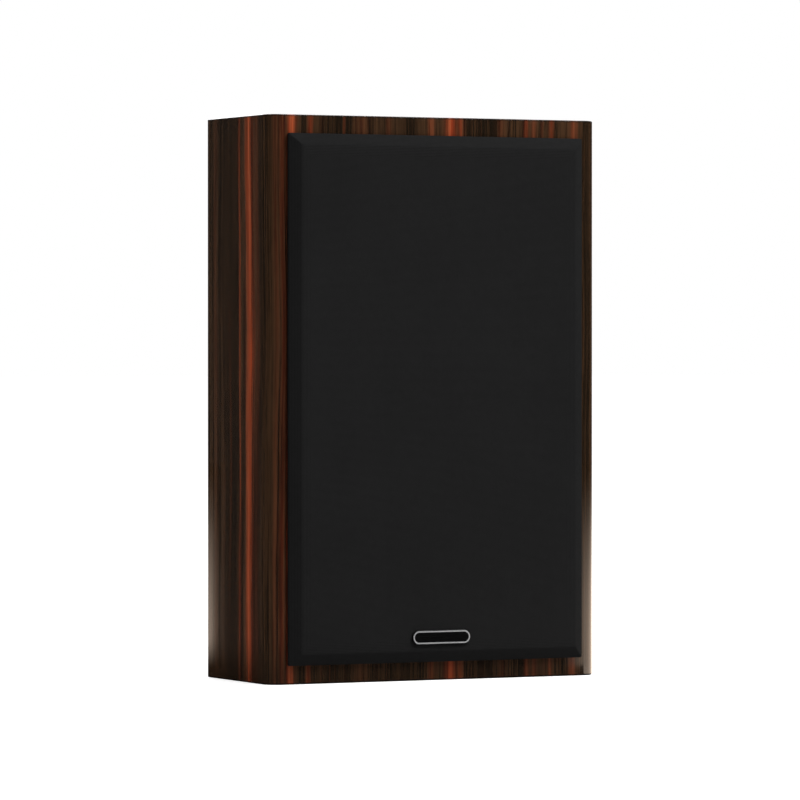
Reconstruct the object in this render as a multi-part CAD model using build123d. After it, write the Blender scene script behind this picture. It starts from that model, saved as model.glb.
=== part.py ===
"""Slim two-way bookshelf speaker with a bevelled cloth grille, built as separate parts.

Millimetres. X runs across the front, Y from front to back, Z up. The origin is the middle of the
base. Depths are counted backwards from the front face of the baffle, so the grille has negative ones.
"""

import math
import os
from typing import NamedTuple

from build123d import *

# Cabinet
cabinet_width = 205.0
cabinet_height = 312.0
cabinet_depth = 80.0
front_edge_radius = 9.0
edge_round = 0.8
baffle_thickness = 18.0
wall_thickness = 12.0
rear_thickness = 12.0
rear_inset = 0.5
brace_thickness = 12.0
brace_border = 8.0
brace_middle_window = 52.0
brace_rib = 9.0
pad_thickness = 12.0
pad_margin = 7.0

# Grille
grille_side_border = 11.2
grille_end_border = 10.3
grille_thickness = 6.2
grille_edge_height = 1.9
grille_bevel_width = 6.2
grille_bar_width = 18.5
grille_gap = 0.3
cloth_thickness = 0.5
badge_width = 36.0
badge_height = 8.0
badge_thickness = 1.2
badge_centre_height = 24.2
badge_corner_radius = 3.9
badge_edge_round = 0.35
badge_pin_radius = 0.8
badge_pin_length = 3.0
badge_pin_spacing = 24.0
badge_pin_spare = 0.5
stud_inset = 9.0
stud_root_radius = 2.0
stud_root_length = 3.4
stud_collar_radius = 3.5
stud_collar_thickness = 1.2
stud_pin_radius = 2.5
stud_pin_length = 8.0
stud_tip_length = 1.5
stud_tip_taper = 1.0
cup_wall = 2.0
cup_lip_radius = 6.0
cup_lip_thickness = 1.2
cup_floor = 1.5

# Woofer
driver_gap = 4.0
woofer_flange_radius = 70.0
woofer_flange_thickness = 4.2
woofer_rim_width = 9.0
woofer_seat_depth = 3.0
woofer_seat_width = 5.5
woofer_wall = 3.0
woofer_motor_depth = 37.0
woofer_floor_radius = 39.0
woofer_floor_thickness = 2.5
woofer_floor_bore_margin = 3.0
woofer_ledge_depth = 30.0
woofer_ledge_width = 4.5
woofer_window_count = 6
woofer_window_width = 30.0
woofer_window_front_margin = 5.0
woofer_window_back_margin = 3.0
woofer_roll_radius = 3.6
woofer_lip_width = 3.5
woofer_skin = 0.8
woofer_cone_skin = 0.6
woofer_neck_depth = 24.0
woofer_cap_radius = 19.0
woofer_cap_rise = 6.0
woofer_cap_skin = 0.4
woofer_coil_radius = 13.0
woofer_former_skin = 0.3
woofer_former_nose = 2.0
woofer_former_tail = 0.5
woofer_winding_skin = 0.85
woofer_winding_height = 11.0
woofer_coil_gap = 0.45
woofer_spider_waves = 4
woofer_spider_rise = 1.5
woofer_spider_skin = 0.55
woofer_spider_collar = 2.5
woofer_top_plate_radius = 36.0
woofer_top_plate_thickness = 6.0
woofer_magnet_radius = 42.0
woofer_magnet_bore = 20.0
woofer_magnet_thickness = 12.0
woofer_yoke_radius = 38.0
woofer_yoke_thickness = 6.0
woofer_vent_radius = 3.0
woofer_screw_count = 6
woofer_tag_reach = 5.0
woofer_tag_spread = 10.0
woofer_strip_overhang = 2.0
woofer_blade_inset = 2.0
woofer_blade_height = 8.4

# Tweeter
tweeter_face_radius = 47.0
tweeter_face_thickness = 4.0
tweeter_dish_radius = 33.0
tweeter_boss_radius = 33.0
tweeter_boss_depth = 7.5
tweeter_throat_radius = 17.5
tweeter_throat_land = 1.0
tweeter_roll_gap = 0.6
tweeter_pole_drop = 0.8
tweeter_dome_radius = 12.7
tweeter_dome_rise = 5.4
tweeter_dome_skin = 0.35
tweeter_lip_width = 2.5
tweeter_coil_skin = 0.7
tweeter_coil_height = 4.8
tweeter_coil_gap = 0.5
tweeter_top_plate_radius = 30.0
tweeter_top_plate_thickness = 4.0
tweeter_magnet_radius = 32.0
tweeter_magnet_bore = 17.0
tweeter_magnet_thickness = 9.0
tweeter_yoke_radius = 29.0
tweeter_yoke_thickness = 4.0
tweeter_vent_radius = 3.0
tweeter_screw_count = 4
tweeter_tag_spread = 8.0
tweeter_strip_gap = 0.2
tweeter_strip_thickness = 2.2
tweeter_blade_reach = 6.0

# Terminal strips of both drivers
strip_thickness = 1.6
strip_margin = 4.0
blade_width = 3.0
blade_thickness = 0.8

# Terminals
cup_flange_width = 92.0
cup_flange_height = 66.0
cup_flange_thickness = 2.5
cup_tray_width = 72.0
cup_tray_height = 46.0
cup_tray_depth = 27.0
cup_tray_wall = 2.0
cup_tray_floor = 2.5
cup_corner_radius = 6.0
post_spacing = 24.0
stud_radius = 3.0
socket_radius = 2.0
socket_length = 14.4
wire_hole_radius = 1.4
collar_radius = 6.5
collar_thickness = 2.5
washer_radius = 5.4
washer_thickness = 1.0
knob_radius = 6.5
knob_length = 20.0
knob_end = 1.6
knob_flutes = 12
knob_flute_radius = 0.9
knob_chamfer = 0.8
knob_mouth_margin = 0.4
knob_recess_radius = 4.2
knob_recess_depth = 3.0
stud_end_gap = 0.4
stud_tail = 0.6
nut_width = 10.0
nut_thickness = 5.0
tag_thickness = 0.8
tag_reach = 15.0

# Wall hangers and bumpers
plate_width = 44.0
plate_height = 26.0
plate_thickness = 1.5
plate_offset = 62.0
plate_drop = 31.0
plate_corner_radius = 3.0
plate_screw_inset = 5.0
keyhole_radius = 5.0
keyhole_slot_radius = 2.3
keyhole_travel = 9.0
pocket_depth = 8.0
pocket_margin = 2.0
bumper_radius = 5.0
bumper_height = 2.0
bumper_inset = 14.0
bumper_drop = 62.0
bumper_chamfer = 0.8

# Crossover and wires
board_width = 104.0
board_height = 36.0
board_thickness = 1.6
standoff_height = 5.0
standoff_radius = 3.2
standoff_pin_radius = 2.0
standoff_pin_length = 7.0
standoff_inset = 5.0
standoff_neck_radius = 1.5
standoff_head_radius = 2.3
standoff_head_height = 1.0
component_gap = 2.0
component_margin = 4.0
big_coil_radius = 15.0
big_coil_height = 18.0
small_coil_radius = 11.0
small_coil_height = 11.0
coil_bore = 5.0
capacitor_radius = 6.5
capacitor_length = 25.0
capacitor_round = 1.0
resistor_size = 8.0
resistor_length = 25.0
wire_radius = 1.1
lead_radius = 0.6
wire_spacing = 4.5
wire_landing = 1.8
wire_end_gap = 0.3

# Clearances
gasket_thickness = 0.8
gasket_inset = 0.5
recess_clearance = 0.3
hole_clearance = 0.1
running_clearance = 0.05
cutout_clearance = 1.0
glue_gap = 0.05


class ScrewSize(NamedTuple):
    """Sizes of a cylinder-headed wood screw with a hexagon socket."""

    head_radius: float
    head_height: float
    shank_radius: float
    length: float
    tip_length: float
    socket_radius: float
    socket_depth: float


woofer_screw = ScrewSize(3.4, 2.2, 1.8, 16.5, 3.6, 1.7, 1.3)
tweeter_screw = ScrewSize(3.0, 2.0, 1.6, 16.0, 3.2, 1.5, 1.2)
cup_screw = ScrewSize(2.6, 1.5, 1.4, 10.5, 2.8, 1.3, 0.9)
plate_screw = ScrewSize(2.4, 1.0, 1.4, 10.0, 2.8, 1.2, 0.6)

# Positions that follow from the sizes
overall_depth = badge_thickness + grille_thickness + cabinet_depth + bumper_height
baffle_y = badge_thickness + grille_thickness - overall_depth / 2
half_width = cabinet_width / 2
inner_half_width = half_width - wall_thickness
inner_top = cabinet_height - wall_thickness
rear_face = cabinet_depth - rear_inset
rear_inner = rear_face - rear_thickness

grille_width = cabinet_width - 2 * grille_side_border
grille_height = cabinet_height - 2 * grille_end_border
grille_mid_z = cabinet_height / 2
grille_bevel_depth = grille_thickness - grille_edge_height

stack_height = 2 * woofer_flange_radius + driver_gap + 2 * tweeter_face_radius
woofer_z = (cabinet_height - stack_height) / 2 + woofer_flange_radius
tweeter_z = woofer_z + woofer_flange_radius + driver_gap + tweeter_face_radius

woofer_seat_radius = woofer_flange_radius - woofer_rim_width
woofer_mouth_radius = woofer_seat_radius - woofer_seat_width
woofer_cutout_radius = woofer_mouth_radius + woofer_wall + cutout_clearance
woofer_bolt_radius = woofer_seat_radius + woofer_rim_width / 2
woofer_cone_radius = woofer_mouth_radius - 2 * woofer_roll_radius
woofer_floor_bore = woofer_coil_radius + woofer_floor_bore_margin
woofer_back = woofer_motor_depth + woofer_top_plate_thickness + woofer_magnet_thickness
tweeter_strip_reach = tweeter_magnet_radius + tweeter_strip_gap + tweeter_strip_thickness
tweeter_cutout_radius = math.hypot(tweeter_strip_reach, tweeter_tag_spread) + cutout_clearance
tweeter_bolt_radius = (tweeter_cutout_radius + tweeter_face_radius) / 2
tweeter_top_plate_depth = tweeter_boss_depth + tweeter_dome_skin + glue_gap
tweeter_magnet_depth = tweeter_top_plate_depth + tweeter_top_plate_thickness
tweeter_back = tweeter_magnet_depth + tweeter_magnet_thickness

brace_z = (woofer_z + woofer_cutout_radius + tweeter_z - tweeter_cutout_radius) / 2
brace_low = brace_z - brace_thickness / 2
brace_high = brace_z + brace_thickness / 2

cup_z = tweeter_z
cup_floor_outside = rear_face - cup_tray_depth
cup_floor_inside = cup_floor_outside - cup_tray_floor
cup_seat = rear_face - cup_flange_thickness
collar_top = cup_floor_outside + collar_thickness
washer_top = collar_top + washer_thickness
knob_top = washer_top + knob_length
stud_end = knob_top - knob_end - stud_end_gap
stud_start = cup_floor_inside - tag_thickness - nut_thickness - stud_tail
wire_hole_depth = washer_top + wire_hole_radius

plate_z = cabinet_height - plate_drop
keyhole_z = plate_z - keyhole_travel / 2
plate_floor = rear_face - plate_thickness

board_back = rear_inner - standoff_height
board_front = board_back - board_thickness
board_z = (cup_z + cup_flange_height / 2 + inner_top) / 2
board_low = board_z - board_height / 2


def y_at(depth):
    """Y of a depth behind the front face of the baffle."""
    return baffle_y + depth


def block(x_from, x_to, depth_from, depth_to, z_from, z_to):
    """Box between two positions along each axis."""
    size = (x_to - x_from, depth_to - depth_from, z_to - z_from)
    middle = ((x_from + x_to) / 2, y_at((depth_from + depth_to) / 2), (z_from + z_to) / 2)
    return Pos(*middle) * Box(*size)


def rod(radius, depth_from, depth_to, x, z):
    """Cylinder that runs front to back."""
    middle = y_at((depth_from + depth_to) / 2)
    return Pos(x, middle, z) * Rot(90, 0, 0) * Cylinder(radius, depth_to - depth_from)


def ring(bore, radius, depth_from, depth_to, x, z):
    """Plain ring that runs front to back."""
    return rod(radius, depth_from, depth_to, x, z) - rod(bore, depth_from, depth_to, x, z)


def turned(points, x, z):
    """Solid turned about a front to back axis from (radius, depth) corners."""
    return turned_outline(Polyline(*points, close=True), x, z)


def turned_outline(outline, x, z):
    """Solid turned about a front to back axis from a closed outline."""
    return Pos(x, baffle_y, z) * revolve(make_face(outline), Axis.Y)


def plate(sketch, depth_from, depth_to, x, z):
    """Flat sketch, drawn as seen from the front, made solid between two depths."""
    solid = extrude(sketch, depth_to - depth_from)
    return Pos(x, y_at(depth_from), z) * Rot(-90, 0, 0) * solid


def on_circle(count, radius, z, first_angle):
    """Centres spread evenly on a circle about a driver's axis."""
    angles = [math.radians(first_angle + 360 * n / count) for n in range(count)]
    return [(radius * math.cos(a), z + radius * math.sin(a)) for a in angles]


def corners(half_x, half_z, z):
    """The four corners of an upright rectangle centred on the width."""
    return [(sx * half_x, z + sz * half_z) for sx in (-1, 1) for sz in (-1, 1)]


def screw(size, x, z, seat, way):
    """Wood screw whose head is flush with depth seat; way is 1 backwards or -1 forwards."""
    points = [
        (0, 0),
        (size.head_radius, 0),
        (size.head_radius, size.head_height),
        (size.shank_radius, size.head_height),
        (size.shank_radius, size.length - size.tip_length),
        (0, size.length),
    ]
    body = turned([(radius, seat + way * along) for radius, along in points], x, z)
    socket = extrude(RegularPolygon(size.socket_radius, 6), size.socket_depth, both=True)
    return body - Pos(x, y_at(seat), z) * Rot(90, 0, 0) * socket


def screw_hole(size, x, z, seat, way):
    """Counterbored hole for a screw, open at the head."""
    head_end = seat + way * size.head_height
    shank_end = seat + way * (size.length + hole_clearance)
    mouth = rod(size.head_radius + hole_clearance, min(seat, head_end), max(seat, head_end), x, z)
    reach = rod(size.shank_radius + hole_clearance, min(seat, shank_end), max(seat, shank_end), x, z)
    return mouth + reach


def cabinet_body():
    """Outer form of the whole cabinet as one block."""
    outline = Rectangle(cabinet_width, cabinet_depth)
    outline = fillet(outline.vertices().group_by(Axis.Y)[0], front_edge_radius)
    outline = fillet(outline.vertices().group_by(Axis.Y)[-1], edge_round)
    body = Pos(0, y_at(cabinet_depth / 2), 0) * extrude(outline, cabinet_height)
    ends = body.edges().group_by(Axis.Z)[0] + body.edges().group_by(Axis.Z)[-1]
    return fillet(ends, edge_round)


def cabinet_walls():
    """Left, right, top and bottom panels, mitred where they meet."""
    hollow = block(
        -inner_half_width, inner_half_width, baffle_thickness, cabinet_depth, wall_thickness, inner_top
    )
    behind = block(-half_width, half_width, baffle_thickness, cabinet_depth, 0, cabinet_height)
    frame = (cabinet_body() & behind) - hollow
    low = wall_thickness
    corner = {
        "low left": ((-half_width, 0), (-inner_half_width, low)),
        "high left": ((-half_width, cabinet_height), (-inner_half_width, inner_top)),
        "low right": ((half_width, 0), (inner_half_width, low)),
        "high right": ((half_width, cabinet_height), (inner_half_width, inner_top)),
    }
    sides = {
        "left_side_panel": ("low left", "high left"),
        "right_side_panel": ("low right", "high right"),
        "top_panel": ("high left", "high right"),
        "bottom_panel": ("low left", "low right"),
    }
    panels = {}
    for name, (first, second) in sides.items():
        outer_a, inner_a = corner[first]
        outer_b, inner_b = corner[second]
        wedge = make_face(Polyline(outer_a, inner_a, inner_b, outer_b, close=True))
        reach = extrude(Plane.XZ * wedge, cabinet_depth, both=True)
        panels[name] = frame & reach
    return panels


def grille_stud_places():
    """Centres of the grille studs and of the cups that take them."""
    return corners(
        grille_width / 2 - stud_inset, grille_height / 2 - stud_inset, grille_mid_z
    )


def front_baffle():
    """Baffle with flush recesses, driver holes, screw holes and stud cup holes."""
    baffle = cabinet_body() & block(-half_width, half_width, 0, baffle_thickness, 0, cabinet_height)
    woofer_recess = woofer_flange_thickness + gasket_thickness
    tweeter_recess = tweeter_face_thickness + gasket_thickness
    baffle -= rod(woofer_flange_radius + recess_clearance, -1, woofer_recess, 0, woofer_z)
    baffle -= rod(woofer_cutout_radius, -1, baffle_thickness + 1, 0, woofer_z)
    baffle -= rod(tweeter_face_radius + recess_clearance, -1, tweeter_recess, 0, tweeter_z)
    baffle -= rod(tweeter_cutout_radius, -1, baffle_thickness + 1, 0, tweeter_z)
    for x, z in woofer_screw_places():
        baffle -= screw_hole(woofer_screw, x, z, 0, 1)
    for x, z in tweeter_screw_places():
        baffle -= screw_hole(tweeter_screw, x, z, 0, 1)
    for x, z in grille_stud_places():
        baffle -= rod(cup_radius() + hole_clearance, -1, cup_length() + hole_clearance, x, z)
        baffle -= rod(cup_lip_radius + hole_clearance, -1, cup_lip_thickness, x, z)
    return baffle


def rear_panel():
    """Rear panel let in between the walls, with the cut-outs for what it carries."""
    panel = block(
        -inner_half_width, inner_half_width, rear_inner, rear_face, wall_thickness, inner_top
    )
    recess = cup_seat - gasket_thickness
    flange = RectangleRounded(
        cup_flange_width + 2 * recess_clearance, cup_flange_height + 2 * recess_clearance, cup_corner_radius
    )
    tray = RectangleRounded(
        cup_tray_width + cutout_clearance, cup_tray_height + cutout_clearance, cup_corner_radius
    )
    panel -= plate(flange, recess, rear_face, 0, cup_z)
    panel -= plate(tray, rear_inner, rear_face, 0, cup_z)
    for x, z in cup_screw_places():
        panel -= screw_hole(cup_screw, x, z, rear_face, -1)
    for side in (-1, 1):
        panel -= hanger_pocket(side * plate_offset)
    for x, z in plate_screw_places():
        panel -= screw_hole(plate_screw, x, z, rear_face, -1)
    for x, z in standoff_places():
        pin_end = rear_inner + standoff_pin_length + hole_clearance
        panel -= rod(standoff_pin_radius + hole_clearance, rear_inner, pin_end, x, z)
    return panel


def shelf_brace():
    """Shelf between the drivers that ties both walls, baffle and rear together."""
    brace = block(-inner_half_width, inner_half_width, baffle_thickness, rear_inner, brace_low, brace_high)
    front = baffle_thickness + brace_border
    back = rear_inner - brace_border
    middle = brace_middle_window / 2
    brace -= block(-middle, middle, front, back, brace_low, brace_high)
    for side in (-1, 1):
        near = side * (middle + brace_rib)
        far = side * (inner_half_width - brace_border)
        brace -= block(min(near, far), max(near, far), front, back, brace_low, brace_high)
    return brace


def damping_pads():
    """Foam pads on the inner side walls, above and below the shelf."""
    pads = []
    front = baffle_thickness + pad_margin
    back = rear_inner - pad_margin
    levels = [
        (wall_thickness + pad_margin, brace_low - pad_margin),
        (brace_high + pad_margin, inner_top - pad_margin),
    ]
    for low, high in levels:
        outer = inner_half_width - glue_gap
        pads.append(block(outer - pad_thickness, outer, front, back, low, high))
        pads.append(block(-outer, pad_thickness - outer, front, back, low, high))
    return pads


def bevelled_block(inset):
    """Grille form with bevelled edges, shrunk all round by inset except at its back."""
    slope = math.hypot(grille_bevel_width, grille_bevel_depth)
    edge = grille_edge_height - inset * (slope - grille_bevel_depth) / grille_bevel_width
    narrowing = grille_bevel_width - inset + inset * (slope - grille_bevel_width) / grille_bevel_depth
    width = grille_width - 2 * inset
    height = grille_height - 2 * inset
    front = grille_thickness - inset
    foot = block(
        -width / 2, width / 2, -edge, -grille_gap, grille_mid_z - height / 2, grille_mid_z + height / 2
    )
    low = Plane((0, y_at(-edge), grille_mid_z), x_dir=(1, 0, 0), z_dir=(0, -1, 0))
    high = Plane((0, y_at(-front), grille_mid_z), x_dir=(1, 0, 0), z_dir=(0, -1, 0))
    large = low * Rectangle(width, height)
    small = high * Rectangle(width - 2 * narrowing, height - 2 * narrowing)
    return foot + loft([large.face(), small.face()], ruled=True)


def badge_pins(radius, depth_from, depth_to):
    """The two badge pins, or holes for them."""
    places = [-badge_pin_spacing / 2, badge_pin_spacing / 2]
    return [rod(radius, depth_from, depth_to, x, badge_centre_height) for x in places]


def grille_frame():
    """Bevelled frame of four bars with sockets for the studs and the badge pins."""
    frame = bevelled_block(cloth_thickness)
    opening_x = grille_width / 2 - grille_bar_width
    opening_z = grille_height / 2 - grille_bar_width
    frame -= block(
        -opening_x, opening_x, -grille_thickness, 0, grille_mid_z - opening_z, grille_mid_z + opening_z
    )
    for x, z in grille_stud_places():
        collar = stud_collar_thickness + grille_gap
        root = collar + stud_root_length + hole_clearance
        frame -= rod(stud_collar_radius + hole_clearance, -collar, 0, x, z)
        frame -= rod(stud_root_radius + hole_clearance, -root, 0, x, z)
    pin_hole_end = badge_pin_length - grille_thickness + badge_pin_spare
    for pin in badge_pins(badge_pin_radius + hole_clearance, -grille_thickness, pin_hole_end):
        frame -= pin
    return frame


def grille_cloth():
    """Cloth stretched over the front, the bevels and the edges of the frame."""
    cloth = bevelled_block(0) - bevelled_block(cloth_thickness)
    for pin in badge_pins(badge_pin_radius + hole_clearance, -grille_thickness - 1, 0):
        cloth -= pin
    return cloth


def grille_studs():
    """Four studs glued into the back of the grille frame."""
    studs = []
    for x, z in grille_stud_places():
        collar = -grille_gap - stud_collar_thickness
        tip = stud_pin_length - grille_gap
        points = [
            (0, collar - stud_root_length),
            (stud_root_radius, collar - stud_root_length),
            (stud_root_radius, collar),
            (stud_collar_radius, collar),
            (stud_collar_radius, -grille_gap),
            (stud_pin_radius, -grille_gap),
            (stud_pin_radius, tip - stud_tip_length),
            (stud_pin_radius - stud_tip_taper, tip),
            (0, tip),
        ]
        studs.append(turned(points, x, z))
    return studs


def grille_badge():
    """Blank badge with two pins through the cloth."""
    outline = RectangleRounded(badge_width, badge_height, badge_corner_radius)
    face = -grille_thickness - badge_thickness
    badge = plate(outline, face, -grille_thickness, 0, badge_centre_height)
    rim = badge.faces().sort_by(Axis.Y)[0].edges()
    badge = fillet(rim, badge_edge_round)
    for pin in badge_pins(badge_pin_radius, -grille_thickness, badge_pin_length - grille_thickness):
        badge += pin
    return badge


def cup_radius():
    """Outer radius of the rubber cups that take the grille studs."""
    return stud_pin_radius + running_clearance + cup_wall


def cup_length():
    """Length of the rubber cups."""
    return stud_pin_length + cup_floor


def grille_cups():
    """Four rubber cups pushed into the baffle."""
    bore = stud_pin_radius + running_clearance
    cups = []
    for x, z in grille_stud_places():
        points = [
            (bore, 0),
            (cup_lip_radius, 0),
            (cup_lip_radius, cup_lip_thickness),
            (cup_radius(), cup_lip_thickness),
            (cup_radius(), cup_length()),
            (0, cup_length()),
            (0, stud_pin_length),
            (bore, stud_pin_length),
        ]
        cups.append(turned(points, x, z))
    return cups


def woofer_screw_places():
    """Centres of the woofer screws."""
    return on_circle(woofer_screw_count, woofer_bolt_radius, woofer_z, 60)


def woofer_basket():
    """Cast basket: flange, six spokes, spider ledge and floor for the motor."""
    outer_mouth = woofer_mouth_radius + woofer_wall
    ledge = woofer_floor_radius - woofer_wall
    ledge_bore = ledge - woofer_ledge_width
    floor = woofer_motor_depth - woofer_floor_thickness
    points = [
        (woofer_flange_radius, 0),
        (woofer_flange_radius, woofer_flange_thickness),
        (outer_mouth, woofer_flange_thickness),
        (woofer_floor_radius, woofer_ledge_depth + woofer_wall),
        (woofer_floor_radius, woofer_motor_depth),
        (woofer_floor_bore, woofer_motor_depth),
        (woofer_floor_bore, floor),
        (ledge_bore, floor),
        (ledge_bore, woofer_ledge_depth),
        (ledge, woofer_ledge_depth),
        (woofer_mouth_radius, woofer_seat_depth),
        (woofer_seat_radius, woofer_seat_depth),
        (woofer_seat_radius, 0),
    ]
    basket = turned(points, 0, woofer_z)
    window_front = woofer_flange_thickness + woofer_window_front_margin
    window_back = woofer_ledge_depth - woofer_window_back_margin
    for n in range(woofer_window_count):
        half = woofer_window_width / 2
        window = block(-half, half, window_front, window_back, ledge_bore, woofer_cutout_radius)
        turn = Rot(0, 360 * n / woofer_window_count, 0)
        basket -= Pos(0, 0, woofer_z) * turn * window
    boss_low = woofer_z + ledge
    boss_half = woofer_tag_spread / 2 + strip_margin
    boss_front = woofer_ledge_depth + woofer_wall
    basket += block(
        -boss_half, boss_half, boss_front, woofer_motor_depth, boss_low, woofer_strip_z()
    )
    for x, z in woofer_screw_places():
        basket -= screw_hole(woofer_screw, x, z, 0, 1)
    return basket


def woofer_gasket():
    """Foam gasket behind the woofer flange."""
    front = woofer_flange_thickness
    gasket = ring(
        woofer_cutout_radius,
        woofer_flange_radius - gasket_inset,
        front,
        front + gasket_thickness,
        0,
        woofer_z,
    )
    for x, z in woofer_screw_places():
        gasket -= screw_hole(woofer_screw, x, z, 0, 1)
    return gasket


def woofer_surround():
    """Rubber half roll between the cone edge and the basket seat."""
    back = woofer_seat_depth
    front = back - woofer_skin
    outer_foot = woofer_mouth_radius
    roll = woofer_roll_radius
    middle = outer_foot - roll
    inner_foot = middle - roll
    inner_end = inner_foot - woofer_lip_width
    outer_end = woofer_seat_radius - glue_gap
    small = roll - woofer_skin
    outline = [
        Line((inner_end, back), (inner_end, front)),
        Line((inner_end, front), (inner_foot, front)),
        ThreePointArc((inner_foot, front), (middle, front - roll), (outer_foot, front)),
        Line((outer_foot, front), (outer_end, front)),
        Line((outer_end, front), (outer_end, back)),
        Line((outer_end, back), (middle + small, back)),
        Line((middle + small, back), (middle + small, front)),
        ThreePointArc((middle + small, front), (middle, front - small), (middle - small, front)),
        Line((middle - small, front), (middle - small, back)),
        Line((middle - small, back), (inner_end, back)),
    ]
    return turned_outline(outline, 0, woofer_z)


def cone_curve(shift):
    """Flared curve of the woofer cone, shifted back by shift."""
    neck = woofer_coil_radius + glue_gap
    edge = woofer_cone_radius - woofer_lip_width
    edge_depth = woofer_seat_depth + glue_gap
    middle_radius = neck + 0.43 * (edge - neck)
    middle_depth = edge_depth + 0.48 * (woofer_neck_depth - edge_depth)
    return ThreePointArc(
        (edge, edge_depth + shift),
        (middle_radius, middle_depth + shift),
        (neck, woofer_neck_depth + shift),
    )


def cone_depth(radius):
    """Depth of the front of the cone at a radius."""
    curve = cone_curve(0)
    centre = curve.arc_center
    return centre.Y - math.sqrt(curve.radius**2 - (radius - centre.X) ** 2)


def woofer_cone():
    """Thin flared cone, with a flat rim under the surround, down to the coil former."""
    front = cone_curve(0)
    back = cone_curve(woofer_cone_skin)
    rim_front = (woofer_cone_radius, (front @ 0).Y)
    rim_back = (woofer_cone_radius, (back @ 0).Y)
    rim = Polyline(front @ 0, rim_front, rim_back, back @ 0)
    outline = [front, Line(front @ 1, back @ 1), back, rim]
    return turned_outline(outline, 0, woofer_z)


def woofer_dust_cap():
    """Dome that closes the middle of the cone."""
    skin = woofer_cap_skin
    rim = cone_depth(woofer_cap_radius) - skin - glue_gap
    top = rim - woofer_cap_rise
    outer = TangentArc((0, top), (woofer_cap_radius, rim), tangent=(1, 0))
    inner = TangentArc((0, top + skin), (woofer_cap_radius, rim + skin), tangent=(1, 0))
    outline = [outer, inner, Line(outer @ 0, inner @ 0), Line(outer @ 1, inner @ 1)]
    return turned_outline(outline, 0, woofer_z)


def woofer_coil_middle():
    """Depth of the middle of the magnetic gap."""
    return woofer_motor_depth + woofer_top_plate_thickness / 2


def woofer_coil_former():
    """Thin tube that carries the voice coil."""
    front = woofer_neck_depth - woofer_former_nose
    back = woofer_coil_middle() + woofer_winding_height / 2 + woofer_former_tail
    bore = woofer_coil_radius - woofer_former_skin
    return ring(bore, woofer_coil_radius, front, back, 0, woofer_z)


def woofer_voice_coil():
    """Copper winding on the former."""
    half = woofer_winding_height / 2
    middle = woofer_coil_middle()
    bore = woofer_coil_radius + glue_gap
    return ring(bore, bore + woofer_winding_skin, middle - half, middle + half, 0, woofer_z)


def woofer_spider():
    """Corrugated cloth disc that centres the coil."""
    skin = woofer_spider_skin
    back = woofer_ledge_depth - glue_gap
    inner = woofer_coil_radius + glue_gap
    outer = woofer_floor_radius - woofer_wall - glue_gap
    first = inner + woofer_spider_collar
    last = outer - woofer_ledge_width
    ridge = []
    steps = 2 * woofer_spider_waves
    for n in range(steps + 1):
        rise = woofer_spider_rise if n % 2 else 0.0
        ridge.append((first + (last - first) * n / steps, back - rise))
    line = [(inner, back)] + ridge + [(outer, back)]
    lifted = [(radius, depth - skin) for radius, depth in reversed(line)]
    return turned(line + lifted, 0, woofer_z)


def woofer_top_plate():
    """Front pole plate of the woofer motor."""
    bore = woofer_coil_radius + glue_gap + woofer_winding_skin + woofer_coil_gap
    back = woofer_motor_depth + woofer_top_plate_thickness
    return ring(bore, woofer_top_plate_radius, woofer_motor_depth, back, 0, woofer_z)


def woofer_magnet():
    """Ferrite ring of the woofer motor."""
    front = woofer_back - woofer_magnet_thickness
    return ring(woofer_magnet_bore, woofer_magnet_radius, front, woofer_back, 0, woofer_z)


def woofer_yoke():
    """Back plate with the vented centre pole."""
    pole = woofer_coil_radius - woofer_former_skin - woofer_coil_gap
    back = woofer_back + woofer_yoke_thickness
    points = [
        (woofer_vent_radius, woofer_motor_depth),
        (pole, woofer_motor_depth),
        (pole, woofer_back),
        (woofer_yoke_radius, woofer_back),
        (woofer_yoke_radius, back),
        (woofer_vent_radius, back),
    ]
    return turned(points, 0, woofer_z)


def woofer_strip_z():
    """Height of the seat of the woofer terminal strip."""
    return woofer_z + woofer_floor_radius + woofer_tag_reach


def woofer_terminal_strip():
    """Fibre strip with two blade tags, on the boss of the basket."""
    seat = woofer_strip_z()
    top = seat + strip_thickness
    half = woofer_tag_spread / 2 + strip_margin
    front = woofer_ledge_depth - woofer_strip_overhang
    strip = block(-half, half, front, woofer_motor_depth, seat, top)
    back = woofer_motor_depth - woofer_blade_inset
    for side in (-1, 1):
        x = side * woofer_tag_spread / 2
        left = x - blade_width / 2
        tip = top + woofer_blade_height
        strip += block(left, left + blade_width, back - blade_thickness, back, top, tip)
    return strip


def woofer_tinsel_leads():
    """Flexible leads from the terminal strip through a window to the back of the cone."""
    leads = []
    start = woofer_strip_z() + strip_thickness / 2
    for side in (-1, 1):
        x = side * woofer_tag_spread / 2
        route = [
            (x, woofer_ledge_depth - woofer_strip_overhang - wire_end_gap, start),
            (x, woofer_ledge_depth - 5.6, start - 1),
            (x * 1.05, woofer_ledge_depth - 6, woofer_z + 34),
            (x * 1.15, woofer_neck_depth - 2.4, woofer_z + 21),
        ]
        leads.append(wire(route, lead_radius))
    return leads


def tweeter_screw_places():
    """Centres of the tweeter screws."""
    return on_circle(tweeter_screw_count, tweeter_bolt_radius, tweeter_z, 45)


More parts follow.
